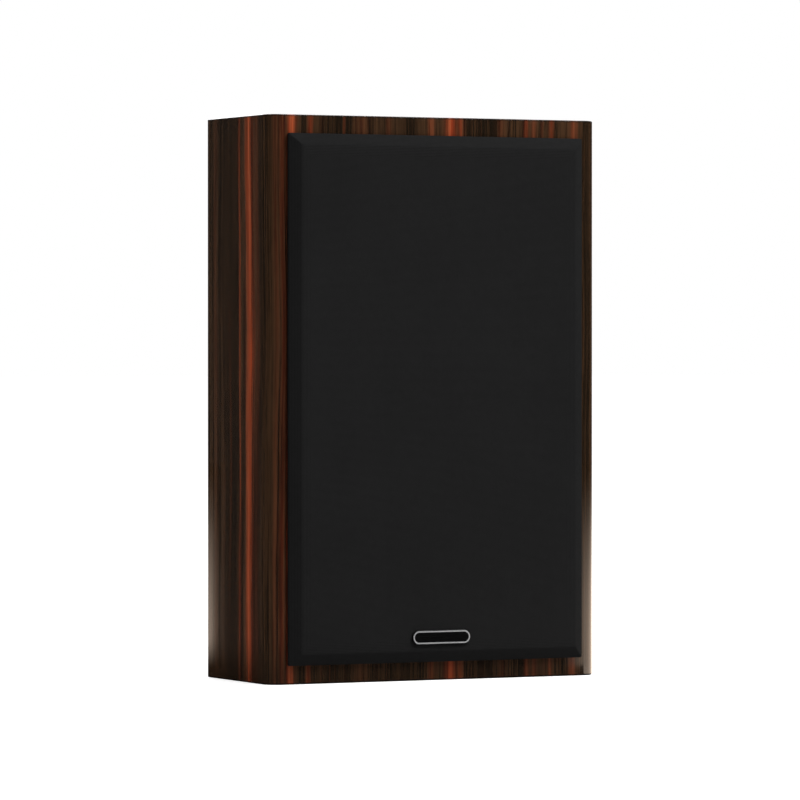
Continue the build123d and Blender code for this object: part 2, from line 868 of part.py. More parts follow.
def tweeter_faceplate():
    """Faceplate with a shallow dish around the dome and a boss for the motor."""
    rim = (tweeter_dish_radius, 0)
    throat = (tweeter_throat_radius, tweeter_boss_depth - tweeter_throat_land)
    dish = TangentArc(rim, throat, tangent=(-1, 0))
    corner_list = [
        throat,
        (tweeter_throat_radius, tweeter_boss_depth),
        (tweeter_boss_radius, tweeter_boss_depth),
        (tweeter_boss_radius, tweeter_face_thickness),
        (tweeter_face_radius, tweeter_face_thickness),
        (tweeter_face_radius, 0),
        rim,
    ]
    faceplate = turned_outline([dish, Polyline(*corner_list)], 0, tweeter_z)
    for x, z in tweeter_screw_places():
        faceplate -= screw_hole(tweeter_screw, x, z, 0, 1)
    return faceplate


def tweeter_gasket():
    """Foam gasket behind the tweeter faceplate."""
    front = tweeter_face_thickness
    gasket = ring(
        tweeter_cutout_radius,
        tweeter_face_radius - gasket_inset,
        front,
        front + gasket_thickness,
        0,
        tweeter_z,
    )
    for x, z in tweeter_screw_places():
        gasket -= screw_hole(tweeter_screw, x, z, 0, 1)
    return gasket


def tweeter_dome():
    """Soft dome."""
    rim = tweeter_boss_depth
    top = rim - tweeter_dome_rise
    skin = tweeter_dome_skin
    radius = tweeter_dome_radius
    outer = TangentArc((0, top), (radius, rim), tangent=(1, 0))
    inner = TangentArc((0, top + skin), (radius - skin, rim), tangent=(1, 0))
    outline = [outer, inner, Line(outer @ 0, inner @ 0), Line(outer @ 1, inner @ 1)]
    return turned_outline(outline, 0, tweeter_z)


def tweeter_surround():
    """Half roll from the dome to a lip held under the faceplate."""
    back = tweeter_boss_depth + tweeter_dome_skin
    front = tweeter_boss_depth
    start = tweeter_dome_radius + glue_gap
    end = tweeter_throat_radius - tweeter_roll_gap
    lip = tweeter_throat_radius + tweeter_lip_width
    middle = (start + end) / 2
    roll = (end - start) / 2
    small = roll - tweeter_dome_skin
    outline = [
        Line((start, back), (start, front)),
        ThreePointArc((start, front), (middle, front - roll), (end, front)),
        Line((end, front), (lip, front)),
        Line((lip, front), (lip, back)),
        Line((lip, back), (middle + small, back)),
        Line((middle + small, back), (middle + small, front)),
        ThreePointArc((middle + small, front), (middle, front - small), (middle - small, front)),
        Line((middle - small, front), (middle - small, back)),
        Line((middle - small, back), (start, back)),
    ]
    return turned_outline(outline, 0, tweeter_z)


def tweeter_voice_coil():
    """Winding under the edge of the dome."""
    front = tweeter_boss_depth + glue_gap
    bore = tweeter_dome_radius - tweeter_coil_skin
    return ring(bore, tweeter_dome_radius, front, front + tweeter_coil_height, 0, tweeter_z)


def tweeter_top_plate():
    """Front pole plate of the tweeter motor."""
    bore = tweeter_dome_radius + tweeter_coil_gap
    return ring(
        bore, tweeter_top_plate_radius, tweeter_top_plate_depth, tweeter_magnet_depth, 0, tweeter_z
    )


def tweeter_magnet():
    """Ferrite ring of the tweeter motor."""
    return ring(
        tweeter_magnet_bore, tweeter_magnet_radius, tweeter_magnet_depth, tweeter_back, 0, tweeter_z
    )


def tweeter_yoke():
    """Back plate with the vented centre pole of the tweeter."""
    pole = tweeter_dome_radius - tweeter_coil_skin - tweeter_coil_gap
    pole_top = tweeter_top_plate_depth + tweeter_pole_drop
    back = tweeter_back + tweeter_yoke_thickness
    points = [
        (tweeter_vent_radius, pole_top),
        (pole, pole_top),
        (pole, tweeter_back),
        (tweeter_yoke_radius, tweeter_back),
        (tweeter_yoke_radius, back),
        (tweeter_vent_radius, back),
    ]
    return turned(points, 0, tweeter_z)


def tweeter_terminal_strip():
    """Small strip with two blade tags under the tweeter magnet."""
    high = tweeter_z - tweeter_magnet_radius - tweeter_strip_gap
    low = tweeter_z - tweeter_strip_reach
    half = tweeter_tag_spread / 2 + strip_margin
    strip = block(-half, half, tweeter_magnet_depth, tweeter_back, low, high)
    middle = (low + high) / 2
    blade_low = middle - blade_thickness / 2
    tip = tweeter_back + tweeter_blade_reach
    for side in (-1, 1):
        x = side * tweeter_tag_spread / 2
        left = x - blade_width / 2
        strip += block(left, left + blade_width, tweeter_back, tip, blade_low, blade_low + blade_thickness)
    return strip


def cup_screw_places():
    """Centres of the terminal cup screws."""
    margin = (cup_flange_height - cup_tray_height) / 4
    return corners(cup_flange_width / 2 - margin, cup_flange_height / 2 - margin, cup_z)


def post_places():
    """X of the red and the black terminal post."""
    return {"red": post_spacing / 2, "black": -post_spacing / 2}


def terminal_cup():
    """Moulded tray that sinks the terminals into the back."""
    flange = RectangleRounded(cup_flange_width, cup_flange_height, cup_corner_radius)
    tray = RectangleRounded(cup_tray_width, cup_tray_height, cup_corner_radius)
    inside = RectangleRounded(
        cup_tray_width - 2 * cup_tray_wall,
        cup_tray_height - 2 * cup_tray_wall,
        cup_corner_radius - cup_tray_wall,
    )
    cup = plate(flange, cup_seat, rear_face, 0, cup_z)
    cup += plate(tray, cup_floor_inside, rear_face, 0, cup_z)
    cup -= plate(inside, cup_floor_outside, rear_face, 0, cup_z)
    for x, z in cup_screw_places():
        cup -= screw_hole(cup_screw, x, z, rear_face, -1)
    for x in post_places().values():
        cup -= rod(stud_radius + hole_clearance, cup_floor_inside, cup_floor_outside, x, cup_z)
    return cup


def terminal_gasket():
    """Foam gasket under the flange of the terminal cup."""
    outer = RectangleRounded(
        cup_flange_width - 2 * gasket_inset, cup_flange_height - 2 * gasket_inset, cup_corner_radius
    )
    inner = RectangleRounded(
        cup_tray_width + cutout_clearance, cup_tray_height + cutout_clearance, cup_corner_radius
    )
    gasket = plate(outer - inner, cup_seat - gasket_thickness, cup_seat, 0, cup_z)
    for x, z in cup_screw_places():
        gasket -= screw_hole(cup_screw, x, z, rear_face, -1)
    return gasket


def post_studs():
    """Two plated studs, each with a plug socket in its end and a cross hole for bare wire."""
    studs = []
    for x in post_places().values():
        stud = rod(stud_radius, stud_start, stud_end, x, cup_z)
        stud -= rod(socket_radius, stud_end - socket_length, stud_end, x, cup_z)
        hole = Cylinder(wire_hole_radius, 4 * stud_radius)
        stud -= Pos(x, y_at(wire_hole_depth), cup_z) * hole
        studs.append(stud)
    return studs


def post_collar(x):
    """Insulating collar that the wire is clamped against."""
    bore = stud_radius + hole_clearance
    return ring(bore, collar_radius, cup_floor_outside, collar_top, x, cup_z)


def clamp_washer(x):
    """Loose washer under the knob."""
    bore = stud_radius + running_clearance
    return ring(bore, washer_radius, collar_top + glue_gap, washer_top, x, cup_z)


def terminal_knob(x):
    """Fluted knob that screws along the stud, recessed over the wire hole and open at its end for a plug."""
    start = washer_top + glue_gap
    recess_end = start + knob_recess_depth
    mouth = socket_radius + knob_mouth_margin
    points = [
        (stud_radius + running_clearance, recess_end),
        (knob_recess_radius, recess_end),
        (knob_recess_radius, start),
        (knob_radius - knob_chamfer, start),
        (knob_radius, start + knob_chamfer),
        (knob_radius, knob_top - knob_chamfer),
        (knob_radius - knob_chamfer, knob_top),
        (mouth, knob_top),
        (mouth, knob_top - knob_end),
        (stud_radius + running_clearance, knob_top - knob_end),
    ]
    knob = turned(points, x, cup_z)
    for flute_x, flute_z in on_circle(knob_flutes, knob_radius, cup_z, 0):
        knob -= rod(knob_flute_radius, start, knob_top, x + flute_x, flute_z)
    return knob


def post_nuts():
    """Hexagon nuts that hold the studs from inside."""
    nuts = []
    back = cup_floor_inside - tag_thickness
    for x in post_places().values():
        outline = RegularPolygon(nut_width / 2, 6, major_radius=False) - Circle(stud_radius + hole_clearance)
        nuts.append(plate(outline, back - nut_thickness, back, x, cup_z))
    return nuts


def post_solder_tags():
    """Ring tags under the nuts, each with a tail for its wire."""
    tags = []
    front = cup_floor_inside - tag_thickness
    for x in post_places().values():
        tag = rod(nut_width / 2, front, cup_floor_inside, x, cup_z)
        left = x - blade_width / 2
        tag += block(left, left + blade_width, front, cup_floor_inside, cup_z, cup_z + tag_reach)
        tag -= rod(stud_radius + hole_clearance, front, cup_floor_inside, x, cup_z)
        tags.append(tag)
    return tags


def keyhole_sketch():
    """Round entry with a narrow slot above it."""
    slot = Pos(0, keyhole_travel / 2) * Rectangle(2 * keyhole_slot_radius, keyhole_travel)
    end = Pos(0, keyhole_travel) * Circle(keyhole_slot_radius)
    return Circle(keyhole_radius) + slot + end


def upright(sketch, depth_from, depth_to, x, z):
    """Sketch with its Y upwards on the cabinet, made solid between two depths."""
    solid = extrude(sketch, depth_to - depth_from)
    return Pos(x, y_at(depth_to), z) * Rot(90, 0, 0) * solid


def plate_screw_places():
    """Centres of the screws of both hanger plates."""
    reach = plate_width / 2 - plate_screw_inset
    return [(sx * plate_offset + sp * reach, plate_z) for sx in (-1, 1) for sp in (-1, 1)]


def hanger_pocket(x):
    """Recess for one hanger plate with a pocket behind its keyhole."""
    clear = recess_clearance
    recess = RectangleRounded(
        plate_width + 2 * clear, plate_height + 2 * clear, plate_corner_radius + clear
    )
    radius = keyhole_radius + pocket_margin
    pocket = SlotCenterToCenter(keyhole_travel, 2 * radius, rotation=90)
    shape = upright(recess, plate_floor, rear_face, x, plate_z)
    return shape + upright(pocket, plate_floor - pocket_depth, rear_face, x, plate_z)


def keyhole_plates():
    """Two steel hanger plates let into the back."""
    plates = []
    for side in (-1, 1):
        x = side * plate_offset
        outline = RectangleRounded(plate_width, plate_height, plate_corner_radius)
        shape = upright(outline, plate_floor, rear_face, x, plate_z)
        shape -= upright(keyhole_sketch(), plate_floor, rear_face, x, keyhole_z)
        for screw_x, screw_z in plate_screw_places():
            shape -= screw_hole(plate_screw, screw_x, screw_z, rear_face, -1)
        plates.append(shape)
    return plates


def rear_bumpers():
    """Four rubber bumpers on the back."""
    across = inner_half_width - bumper_inset
    levels = [wall_thickness + bumper_inset, cabinet_height - bumper_drop]
    end = cabinet_depth + bumper_height
    bumpers = []
    for x, z in [(side * across, level) for side in (-1, 1) for level in levels]:
        points = [
            (0, rear_face),
            (bumper_radius, rear_face),
            (bumper_radius, end - bumper_chamfer),
            (bumper_radius - bumper_chamfer, end),
            (0, end),
        ]
        bumpers.append(turned(points, x, z))
    return bumpers


def standoff_places():
    """Centres of the crossover board standoffs."""
    return corners(board_width / 2 - standoff_inset, board_height / 2 - standoff_inset, board_z)


def crossover_board():
    """Circuit board held off the rear panel."""
    board = block(
        -board_width / 2, board_width / 2, board_front, board_back, board_low, board_low + board_height
    )
    for x, z in standoff_places():
        board -= rod(standoff_neck_radius + hole_clearance, board_front, board_back, x, z)
    return board


def crossover_standoffs():
    """Nylon standoffs pressed into the rear panel and snapped through the board."""
    neck = standoff_neck_radius
    head = standoff_head_radius
    standoffs = []
    for x, z in standoff_places():
        points = [
            (0, board_front - standoff_head_height),
            (head, board_front - standoff_head_height),
            (head, board_front - glue_gap),
            (neck, board_front - glue_gap),
            (neck, board_back),
            (standoff_radius, board_back),
            (standoff_radius, rear_inner),
            (standoff_pin_radius, rear_inner),
            (standoff_pin_radius, rear_inner + standoff_pin_length),
            (0, rear_inner + standoff_pin_length),
        ]
        standoffs.append(turned(points, x, z))
    return standoffs


def big_coil_x():
    """X of the woofer inductor, at the left end of the board."""
    return big_coil_radius + standoff_inset - board_width / 2


def small_coil_x():
    """X of the tweeter inductor, at the right end of the board."""
    return board_width / 2 - standoff_inset - small_coil_radius


def woofer_inductor():
    """Large coil in series with the woofer."""
    front = board_front - big_coil_height
    return ring(coil_bore, big_coil_radius, front, board_front, big_coil_x(), board_z)


def tweeter_inductor():
    """Small coil across the tweeter."""
    front = board_front - small_coil_height
    return ring(coil_bore, small_coil_radius, front, board_front, small_coil_x(), board_z)


def capacitor_places():
    """X of the two capacitors between the coils."""
    first = big_coil_x() + big_coil_radius + capacitor_radius + component_gap
    return [first, first + 2 * capacitor_radius + component_gap]


def crossover_capacitors():
    """Two film capacitors that lie on the board."""
    low = board_z + board_height / 2 - component_margin - capacitor_length
    parts = []
    for x in capacitor_places():
        can = Cylinder(capacitor_radius, capacitor_length, align=(Align.CENTER, Align.CENTER, Align.MIN))
        rims = can.edges().filter_by(GeomType.CIRCLE)
        middle = y_at(board_front - capacitor_radius - glue_gap)
        parts.append(Pos(x, middle, low) * fillet(rims, capacitor_round))
    return parts


def crossover_resistor():
    """Ceramic power resistor that lies on the board."""
    x = capacitor_places()[-1] + capacitor_radius + component_gap
    low = board_z + board_height / 2 - component_margin - resistor_length
    return block(
        x, x + resistor_size, board_front - resistor_size, board_front, low, low + resistor_length
    )


def wire(route, radius):
    """Round wire along straight runs joined by arcs; route holds (x, depth, z) points."""
    points = [Vector(x, y_at(depth), z) for x, depth, z in route]
    radii = []
    for before, here, after in zip(points, points[1:], points[2:]):
        come = here - before
        go = after - here
        turn = math.radians(come.get_angle(go))
        radii.append(0.45 * min(come.length, go.length) / math.tan(turn / 2))
    path = FilletPolyline(*points, radius=radii)
    section = Plane(path @ 0, z_dir=path % 0) * Circle(radius)
    solid = sweep(section, path=path)
    ratio = solid.volume / (math.pi * radius**2 * path.length)
    print("wire bends", [round(r, 1) for r in radii], "volume ratio", round(ratio, 4))
    return solid


def input_wires():
    """Wires from the terminal tags to the board."""
    wires = []
    start = cup_z + tag_reach + wire_end_gap
    depth = cup_floor_inside - wire_radius - 0.5
    landing = board_low + wire_landing
    for x in post_places().values():
        side = math.copysign(1, x)
        route = [
            (x, depth, start),
            (x, depth - 0.4, landing - 9.5),
            (x - side, depth + 3.5, landing - 1),
            (x - side, board_front - wire_end_gap, landing),
        ]
        wires.append(wire(route, wire_radius))
    return wires


def woofer_wires():
    """Wires from the board, through the shelf, to the woofer tags."""
    landing = board_low + wire_landing
    tag_depth = woofer_motor_depth - woofer_blade_inset - blade_thickness / 2
    tag_z = woofer_strip_z() + strip_thickness + woofer_blade_height + wire_end_gap
    approach = max(brace_low - 2, tag_z + 6)
    first_x = big_coil_x() + big_coil_radius - 4
    second_x = first_x + wire_spacing
    ends = woofer_tag_spread / 2
    first = [
        (first_x, board_front - wire_end_gap, landing),
        (first_x, board_front - 13, landing - 1.8),
        (first_x - 1, board_front - 22, landing - 21),
        (first_x + 2, board_front - 24, cup_z - 14),
        (first_x + 9, tag_depth + 2, brace_high + 3),
        (-ends - 1, tag_depth + 0.4, approach),
        (-ends, tag_depth, tag_z),
    ]
    second = [
        (second_x, board_front - wire_end_gap, landing),
        (second_x, board_front - 12.5, landing - 1.8),
        (second_x - 0.5, board_front - 23, landing - 21),
        (second_x + 3.5, board_front - 25, cup_z - 14),
        (second_x + 14, tag_depth + 3, brace_high + 3),
        (ends - 0.5, tag_depth + 1, approach),
        (ends, tag_depth, tag_z),
    ]
    return [wire(first, wire_radius), wire(second, wire_radius)]


def tweeter_wires():
    """Wires from the board to the tweeter tags."""
    landing = board_low + wire_landing
    tag_depth = tweeter_back + tweeter_blade_reach + 3 * wire_end_gap
    tag_z = tweeter_z - tweeter_strip_reach + tweeter_strip_thickness / 2
    first_x = capacitor_places()[-1] + capacitor_radius + 4
    second_x = first_x + wire_spacing
    ends = tweeter_tag_spread / 2
    first = [
        (first_x, board_front - wire_end_gap, landing),
        (first_x, board_front - 12, landing - 1.8),
        (first_x - 2, board_front - 21, landing - 21),
        (first_x - 9, board_front - 25, tweeter_z - 10),
        (-ends + 2, tag_depth + 9, tag_z + 8),
        (-ends, tag_depth, tag_z),
    ]
    second = [
        (second_x, board_front - wire_end_gap, landing),
        (second_x, board_front - 12.5, landing - 1.8),
        (second_x + 0.5, board_front - 22, landing - 21),
        (second_x - 5, board_front - 26, tweeter_z - 10),
        (ends + 4, tag_depth + 8, tag_z + 8),
        (ends, tag_depth, tag_z),
    ]
    return [wire(first, wire_radius), wire(second, wire_radius)]


def all_parts():
    """Every part by its name; a list is a set of alike pieces kept together."""
    red = post_places()["red"]
    black = post_places()["black"]
    parts = {
        "front_baffle": front_baffle(),
        "rear_panel": rear_panel(),
        "shelf_brace": shelf_brace(),
        "damping_pads": damping_pads(),
        "grille_frame": grille_frame(),
        "grille_cloth": grille_cloth(),
        "grille_studs": grille_studs(),
        "grille_badge": grille_badge(),
        "grille_cups": grille_cups(),
        "woofer_basket": woofer_basket(),
        "woofer_gasket": woofer_gasket(),
        "woofer_screws": [screw(woofer_screw, x, z, 0, 1) for x, z in woofer_screw_places()],
        "woofer_surround": woofer_surround(),
        "woofer_cone": woofer_cone(),
        "woofer_dust_cap": woofer_dust_cap(),
        "woofer_coil_former": woofer_coil_former(),
        "woofer_voice_coil": woofer_voice_coil(),
        "woofer_spider": woofer_spider(),
        "woofer_top_plate": woofer_top_plate(),
        "woofer_magnet": woofer_magnet(),
        "woofer_yoke": woofer_yoke(),
        "woofer_terminal_strip": woofer_terminal_strip(),
        "woofer_tinsel_leads": woofer_tinsel_leads(),
        "tweeter_faceplate": tweeter_faceplate(),
        "tweeter_gasket": tweeter_gasket(),
        "tweeter_screws": [screw(tweeter_screw, x, z, 0, 1) for x, z in tweeter_screw_places()],
        "tweeter_dome": tweeter_dome(),
        "tweeter_surround": tweeter_surround(),
        "tweeter_voice_coil": tweeter_voice_coil(),
        "tweeter_top_plate": tweeter_top_plate(),
        "tweeter_magnet": tweeter_magnet(),
        "tweeter_yoke": tweeter_yoke(),
        "tweeter_terminal_strip": tweeter_terminal_strip(),
        "terminal_cup": terminal_cup(),
        "terminal_gasket": terminal_gasket(),
        "terminal_screws": [screw(cup_screw, x, z, rear_face, -1) for x, z in cup_screw_places()],
        "post_studs": post_studs(),
        "post_collars": [post_collar(red), post_collar(black)],
        "red_clamp_washer": clamp_washer(red),
        "black_clamp_washer": clamp_washer(black),
        "red_knob": terminal_knob(red),
        "black_knob": terminal_knob(black),
        "post_nuts": post_nuts(),
        "post_solder_tags": post_solder_tags(),
        "keyhole_plates": keyhole_plates(),
        "hanger_screws": [screw(plate_screw, x, z, rear_face, -1) for x, z in plate_screw_places()],
        "rear_bumpers": rear_bumpers(),
        "crossover_board": crossover_board(),
        "crossover_standoffs": crossover_standoffs(),
        "woofer_inductor": woofer_inductor(),
        "tweeter_inductor": tweeter_inductor(),
        "crossover_capacitors": crossover_capacitors(),
        "crossover_resistor": crossover_resistor(),
        "input_wires": input_wires(),
        "woofer_wires": woofer_wires(),
        "tweeter_wires": tweeter_wires(),
    }
    parts.update(cabinet_walls())
    return parts


def main():
    """Write one STEP file per part."""
    os.makedirs("parts", exist_ok=True)
    for name, shape in all_parts().items():
        if isinstance(shape, list):
            shape = Compound(children=shape)
        export_step(shape, f"parts/{name}.step")


main()
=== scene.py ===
"""Looks of a slim bookshelf speaker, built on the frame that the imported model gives.

Each sub-assembly is a class. It builds the pieces that need more than their plain solids, and it
dresses every solid that stays. Sizes in the classes are millimetres. Meshes are in metres, with X
across the front, Y from front to back and Z up.
"""

import logging
import math
from dataclasses import dataclass
from enum import Enum
from functools import reduce
from typing import Callable, Sequence, Union

import bmesh
import bpy
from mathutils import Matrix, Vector, noise
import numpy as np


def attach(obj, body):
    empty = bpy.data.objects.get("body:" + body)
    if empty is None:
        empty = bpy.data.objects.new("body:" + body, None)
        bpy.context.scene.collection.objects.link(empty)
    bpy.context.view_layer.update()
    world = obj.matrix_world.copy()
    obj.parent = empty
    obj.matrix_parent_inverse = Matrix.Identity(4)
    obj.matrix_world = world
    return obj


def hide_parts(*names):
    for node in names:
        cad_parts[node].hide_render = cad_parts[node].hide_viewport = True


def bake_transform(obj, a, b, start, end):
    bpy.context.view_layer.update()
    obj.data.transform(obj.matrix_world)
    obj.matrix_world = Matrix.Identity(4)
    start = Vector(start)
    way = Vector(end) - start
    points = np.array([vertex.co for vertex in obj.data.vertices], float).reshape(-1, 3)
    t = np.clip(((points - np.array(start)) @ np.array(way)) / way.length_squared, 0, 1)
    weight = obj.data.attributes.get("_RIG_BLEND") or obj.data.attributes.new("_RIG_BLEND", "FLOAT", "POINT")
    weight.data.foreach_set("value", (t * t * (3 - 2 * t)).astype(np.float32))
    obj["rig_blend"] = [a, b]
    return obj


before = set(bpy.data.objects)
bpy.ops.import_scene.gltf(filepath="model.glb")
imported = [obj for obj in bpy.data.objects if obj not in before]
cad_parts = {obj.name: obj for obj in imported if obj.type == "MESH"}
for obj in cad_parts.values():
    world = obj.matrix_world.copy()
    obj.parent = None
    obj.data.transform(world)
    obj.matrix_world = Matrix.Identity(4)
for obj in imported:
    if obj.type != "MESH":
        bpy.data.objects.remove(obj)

LOG = logging.getLogger("speaker")
MM = 0.001
FRONT_Y = -37.3
MIDDLE_Z = 156.0
BELL_BASE = 2.718
FULL_TURN = 6.2832
WELD = 1e-7

Colour = tuple[float, float, float]
Place = tuple[float, float, float]
Point = tuple[float, float]
Socket = bpy.types.NodeSocket
Node = bpy.types.Node
Tree = bpy.types.NodeTree
Material = bpy.types.Material
Mesh = bpy.types.Mesh
Piece = bpy.types.Object
Shape = bmesh.types.BMesh
Vertex = bmesh.types.BMVert
Feed = Union[Socket, float, int, Sequence[float]]


def at(x: float, depth: float, z: float) -> Vector:
    """Place in metres of an X, a depth behind the front of the baffle and a Z in millimetres."""
    return Vector((x * MM, (FRONT_Y + depth) * MM, z * MM))


def shade(colour: Colour, factor: float = 1.0) -> tuple[float, float, float, float]:
    """The colour, dimmed or raised by a factor, with full alpha as node sockets take it."""
    return (*(min(1.0, part * factor) for part in colour), 1.0)


class Graph:
    """Adds nodes to one node tree and wires them."""

    def __init__(self, tree: Tree) -> None:
        """Keep the tree that takes the nodes."""
        self.tree = tree

    def feed(self, node: Node, feeds: dict) -> None:
        """Fill inputs of a node.

        Args:
            node: The node.
            feeds: A socket to link or a value to set, by the input's name or number.
        """
        for key, feed in feeds.items():
            if isinstance(feed, Socket):
                self.tree.links.new(feed, node.inputs[key])
            else:
                node.inputs[key].default_value = feed

    def add(self, kind: str, feeds: dict | None = None, **settings: object) -> Node:
        """Add one node.

        Args:
            kind: Type of the node.
            feeds: What goes into its inputs, by name or number.
            **settings: The node's own settings.

        Returns:
            The new node.
        """
        node = self.tree.nodes.new(kind)
        for name, value in settings.items():
            setattr(node, name, value)
        self.feed(node, feeds or {})
        return node

    def calc(self, operation: str, *feeds: Feed) -> Socket:
        """Result of one Math node on the given feeds."""
        return self.add("ShaderNodeMath", dict(enumerate(feeds)), operation=operation).outputs[0]

    def times(self, *feeds: Feed) -> Socket:
        """Product of the feeds."""
        return reduce(lambda first, second: self.calc("MULTIPLY", first, second), feeds)

    def most(self, *feeds: Feed) -> Socket:
        """Largest of the feeds."""
        return reduce(lambda first, second: self.calc("MAXIMUM", first, second), feeds)

    def away(self, first: Feed, second: Feed) -> Socket:
        """Distance that two offsets at right angles make."""
        squares = (self.times(offset, offset) for offset in (first, second))
        return self.calc("SQRT", self.calc("ADD", *squares))

    def between(self, share: Feed, first: Feed, second: Feed) -> Socket:
        """Number that goes from first to second as share goes from 0 to 1."""
        return self.add("ShaderNodeMix", {0: share, 2: first, 3: second}).outputs[0]

    def blend(self, share: Feed, first: Feed, second: Feed) -> Socket:
        """Colour that goes from first to second as share goes from 0 to 1."""
        feeds = {0: share, 6: first, 7: second}
        return self.add("ShaderNodeMix", feeds, data_type="RGBA").outputs[2]

    def scaled(
        self, value: Feed, low: float, high: float, to_low: Feed = 0.0, to_high: Feed = 1.0
    ) -> Socket:
        """Value mapped smoothly from one range to another and held at its ends.

        Args:
            value: What is mapped.
            low: Start of its range.
            high: End of its range.
            to_low: Result at the start.
            to_high: Result at the end.

        Returns:
            The mapped value.
        """
        feeds = dict(enumerate((value, low, high, to_low, to_high)))
        node = self.add("ShaderNodeMapRange", feeds, interpolation_type="SMOOTHSTEP")
        return node.outputs[0]

    def spot(self, kind: str = "Object") -> Socket:
        """Coordinates of the shaded spot."""
        return self.add("ShaderNodeTexCoord").outputs[kind]

    def split(self, vector: Feed) -> tuple[Socket, ...]:
        """X, Y and Z of a vector."""
        return tuple(self.add("ShaderNodeSeparateXYZ", {0: vector}).outputs)

    def millimetres(self) -> tuple[Socket, ...]:
        """X, Y and Z of the shaded spot in millimetres."""
        return tuple(self.times(part, 1.0 / MM) for part in self.split(self.spot()))

    def joined(self, x: Feed, y: Feed, z: Feed) -> Socket:
        """Vector of three values."""
        return self.add("ShaderNodeCombineXYZ", {0: x, 1: y, 2: z}).outputs[0]

    def cloud(self, vector: Feed, scale: Feed, detail: float = 2.0, rough: float = 0.5) -> Socket:
        """Noise around a half.

        Args:
            vector: Where it is read.
            scale: How fine it is.
            detail: Number of finer layers.
            rough: How strong the finer layers are.

        Returns:
            The noise value.
        """
        feeds = {"Vector": vector, "Scale": scale, "Detail": detail, "Roughness": rough}
        return self.add("ShaderNodeTexNoise", feeds).outputs[0]

    def watched(self) -> Socket:
        """1 on rays that the camera sees straight, mirrored or through something, else 0."""
        path = self.add("ShaderNodeLightPath").outputs
        return self.most(*(path[f"Is {kind} Ray"] for kind in ("Camera", "Glossy", "Transmission")))


class Effect(Enum):
    """Surface effects that several finishes share."""

    FIGURE = "wood_figure"
    SKIN = "fine_skin"
    WEAVE = "plain_weave"
    TURNING = "turned_lines"


@dataclass(frozen=True)
class Streak:
    """One red streak or dark band of the veneer.

    The place is counted across the grain in millimetres from the middle of the front, on round the
    corner and along the side.
    """

    place: float
    half_width: float
    strength: float


@dataclass(frozen=True)
class Grain:
    """Noise drawn out along the grain of the veneer.

    Its sizes across and along the grain are millimetres. The span is the part of the noise that is
    stretched to the full range.
    """

    across: float
    along: float
    shift: float
    layers: float
    rough: float = 0.6
    span: Point = (0.3, 0.7)


STREAKS = (
    Streak(-171.0, 2.0, 0.06),
    Streak(-139.8, 1.2, 0.3),
    Streak(-128.2, 3.3, 1.0),
    Streak(-123.2, 2.0, 0.2),
    Streak(-118.0, 2.0, 0.1),
    Streak(-99.0, 1.8, 0.12),
    Streak(-93.8, 2.1, 0.15),
    Streak(-88.3, 2.0, 0.95),
    Streak(-77.5, 1.3, 0.42),
    Streak(-46.0, 4.0, 0.07),
    Streak(-2.6, 1.8, 0.28),
    Streak(9.2, 2.9, 0.9),
    Streak(15.2, 1.7, 0.45),
    Streak(40.5, 2.2, 0.1),
    Streak(56.5, 1.5, 0.3),
    Streak(61.5, 1.4, 0.24),
    Streak(72.2, 1.3, 0.36),
    Streak(86.2, 2.0, 0.36),
    Streak(107.0, 3.0, 0.16),
    Streak(121.0, 3.2, 0.7),
    Streak(137.5, 1.3, 0.3),
    Streak(150.0, 2.2, 0.45),
    Streak(173.0, 2.4, 0.2),
)
DARK_BANDS = (
    Streak(-150.5, 9.0, 0.7),
    Streak(-108.5, 4.0, 0.05),
    Streak(-62.0, 9.0, 0.5),
    Streak(-18.0, 7.0, 0.55),
    Streak(28.0, 6.0, 0.6),
    Streak(95.0, 4.5, 0.5),
    Streak(130.0, 5.0, 0.6),
    Streak(162.0, 6.0, 0.6),
)
DRIFT = Grain(55.0, 120.0, 3.7, 1.0, 0.5)
BROAD = Grain(7.0, 520.0, 1.3, 3.0, span=(0.34, 0.66))
FINE = Grain(1.7, 210.0, 5.1, 3.0, 0.65, (0.36, 0.64))
HAIR = Grain(0.42, 140.0, 9.4, 2.0)
FLECK = Grain(0.7, 15.0, 6.6, 2.0)
FADING = Grain(1.5, 55.0, 2.2, 3.0, span=(0.3, 0.65))
TEAR = Grain(1.8, 26.0, 8.3, 2.0)
STRAY = Grain(3.2, 700.0, 7.7, 2.0, span=(0.56, 0.74))
PORES = Grain(0.45, 22.0, 4.4, 1.0, 0.5, (0.58, 0.72))
TONE_LAYERS = ((BROAD, 0.34), (FINE, 0.36), (HAIR, 0.12), (FLECK, 0.2))
TONE_SPAN = (0.16, 0.84)
DRIFT_SWING = 6.0
TEAR_SWING = 2.4
STRAY_STRENGTH = 0.08
# Painted shade near the floor: the veneer's tone darkens over the lowest 16 mm and its red streaks fade over
# the lowest 30 mm.
FOOT_SHADE = (0.0, 16.0, 0.55, 1.0)
STREAK_FOOT_SHADE = (4.0, 30.0, 0.5, 1.0)


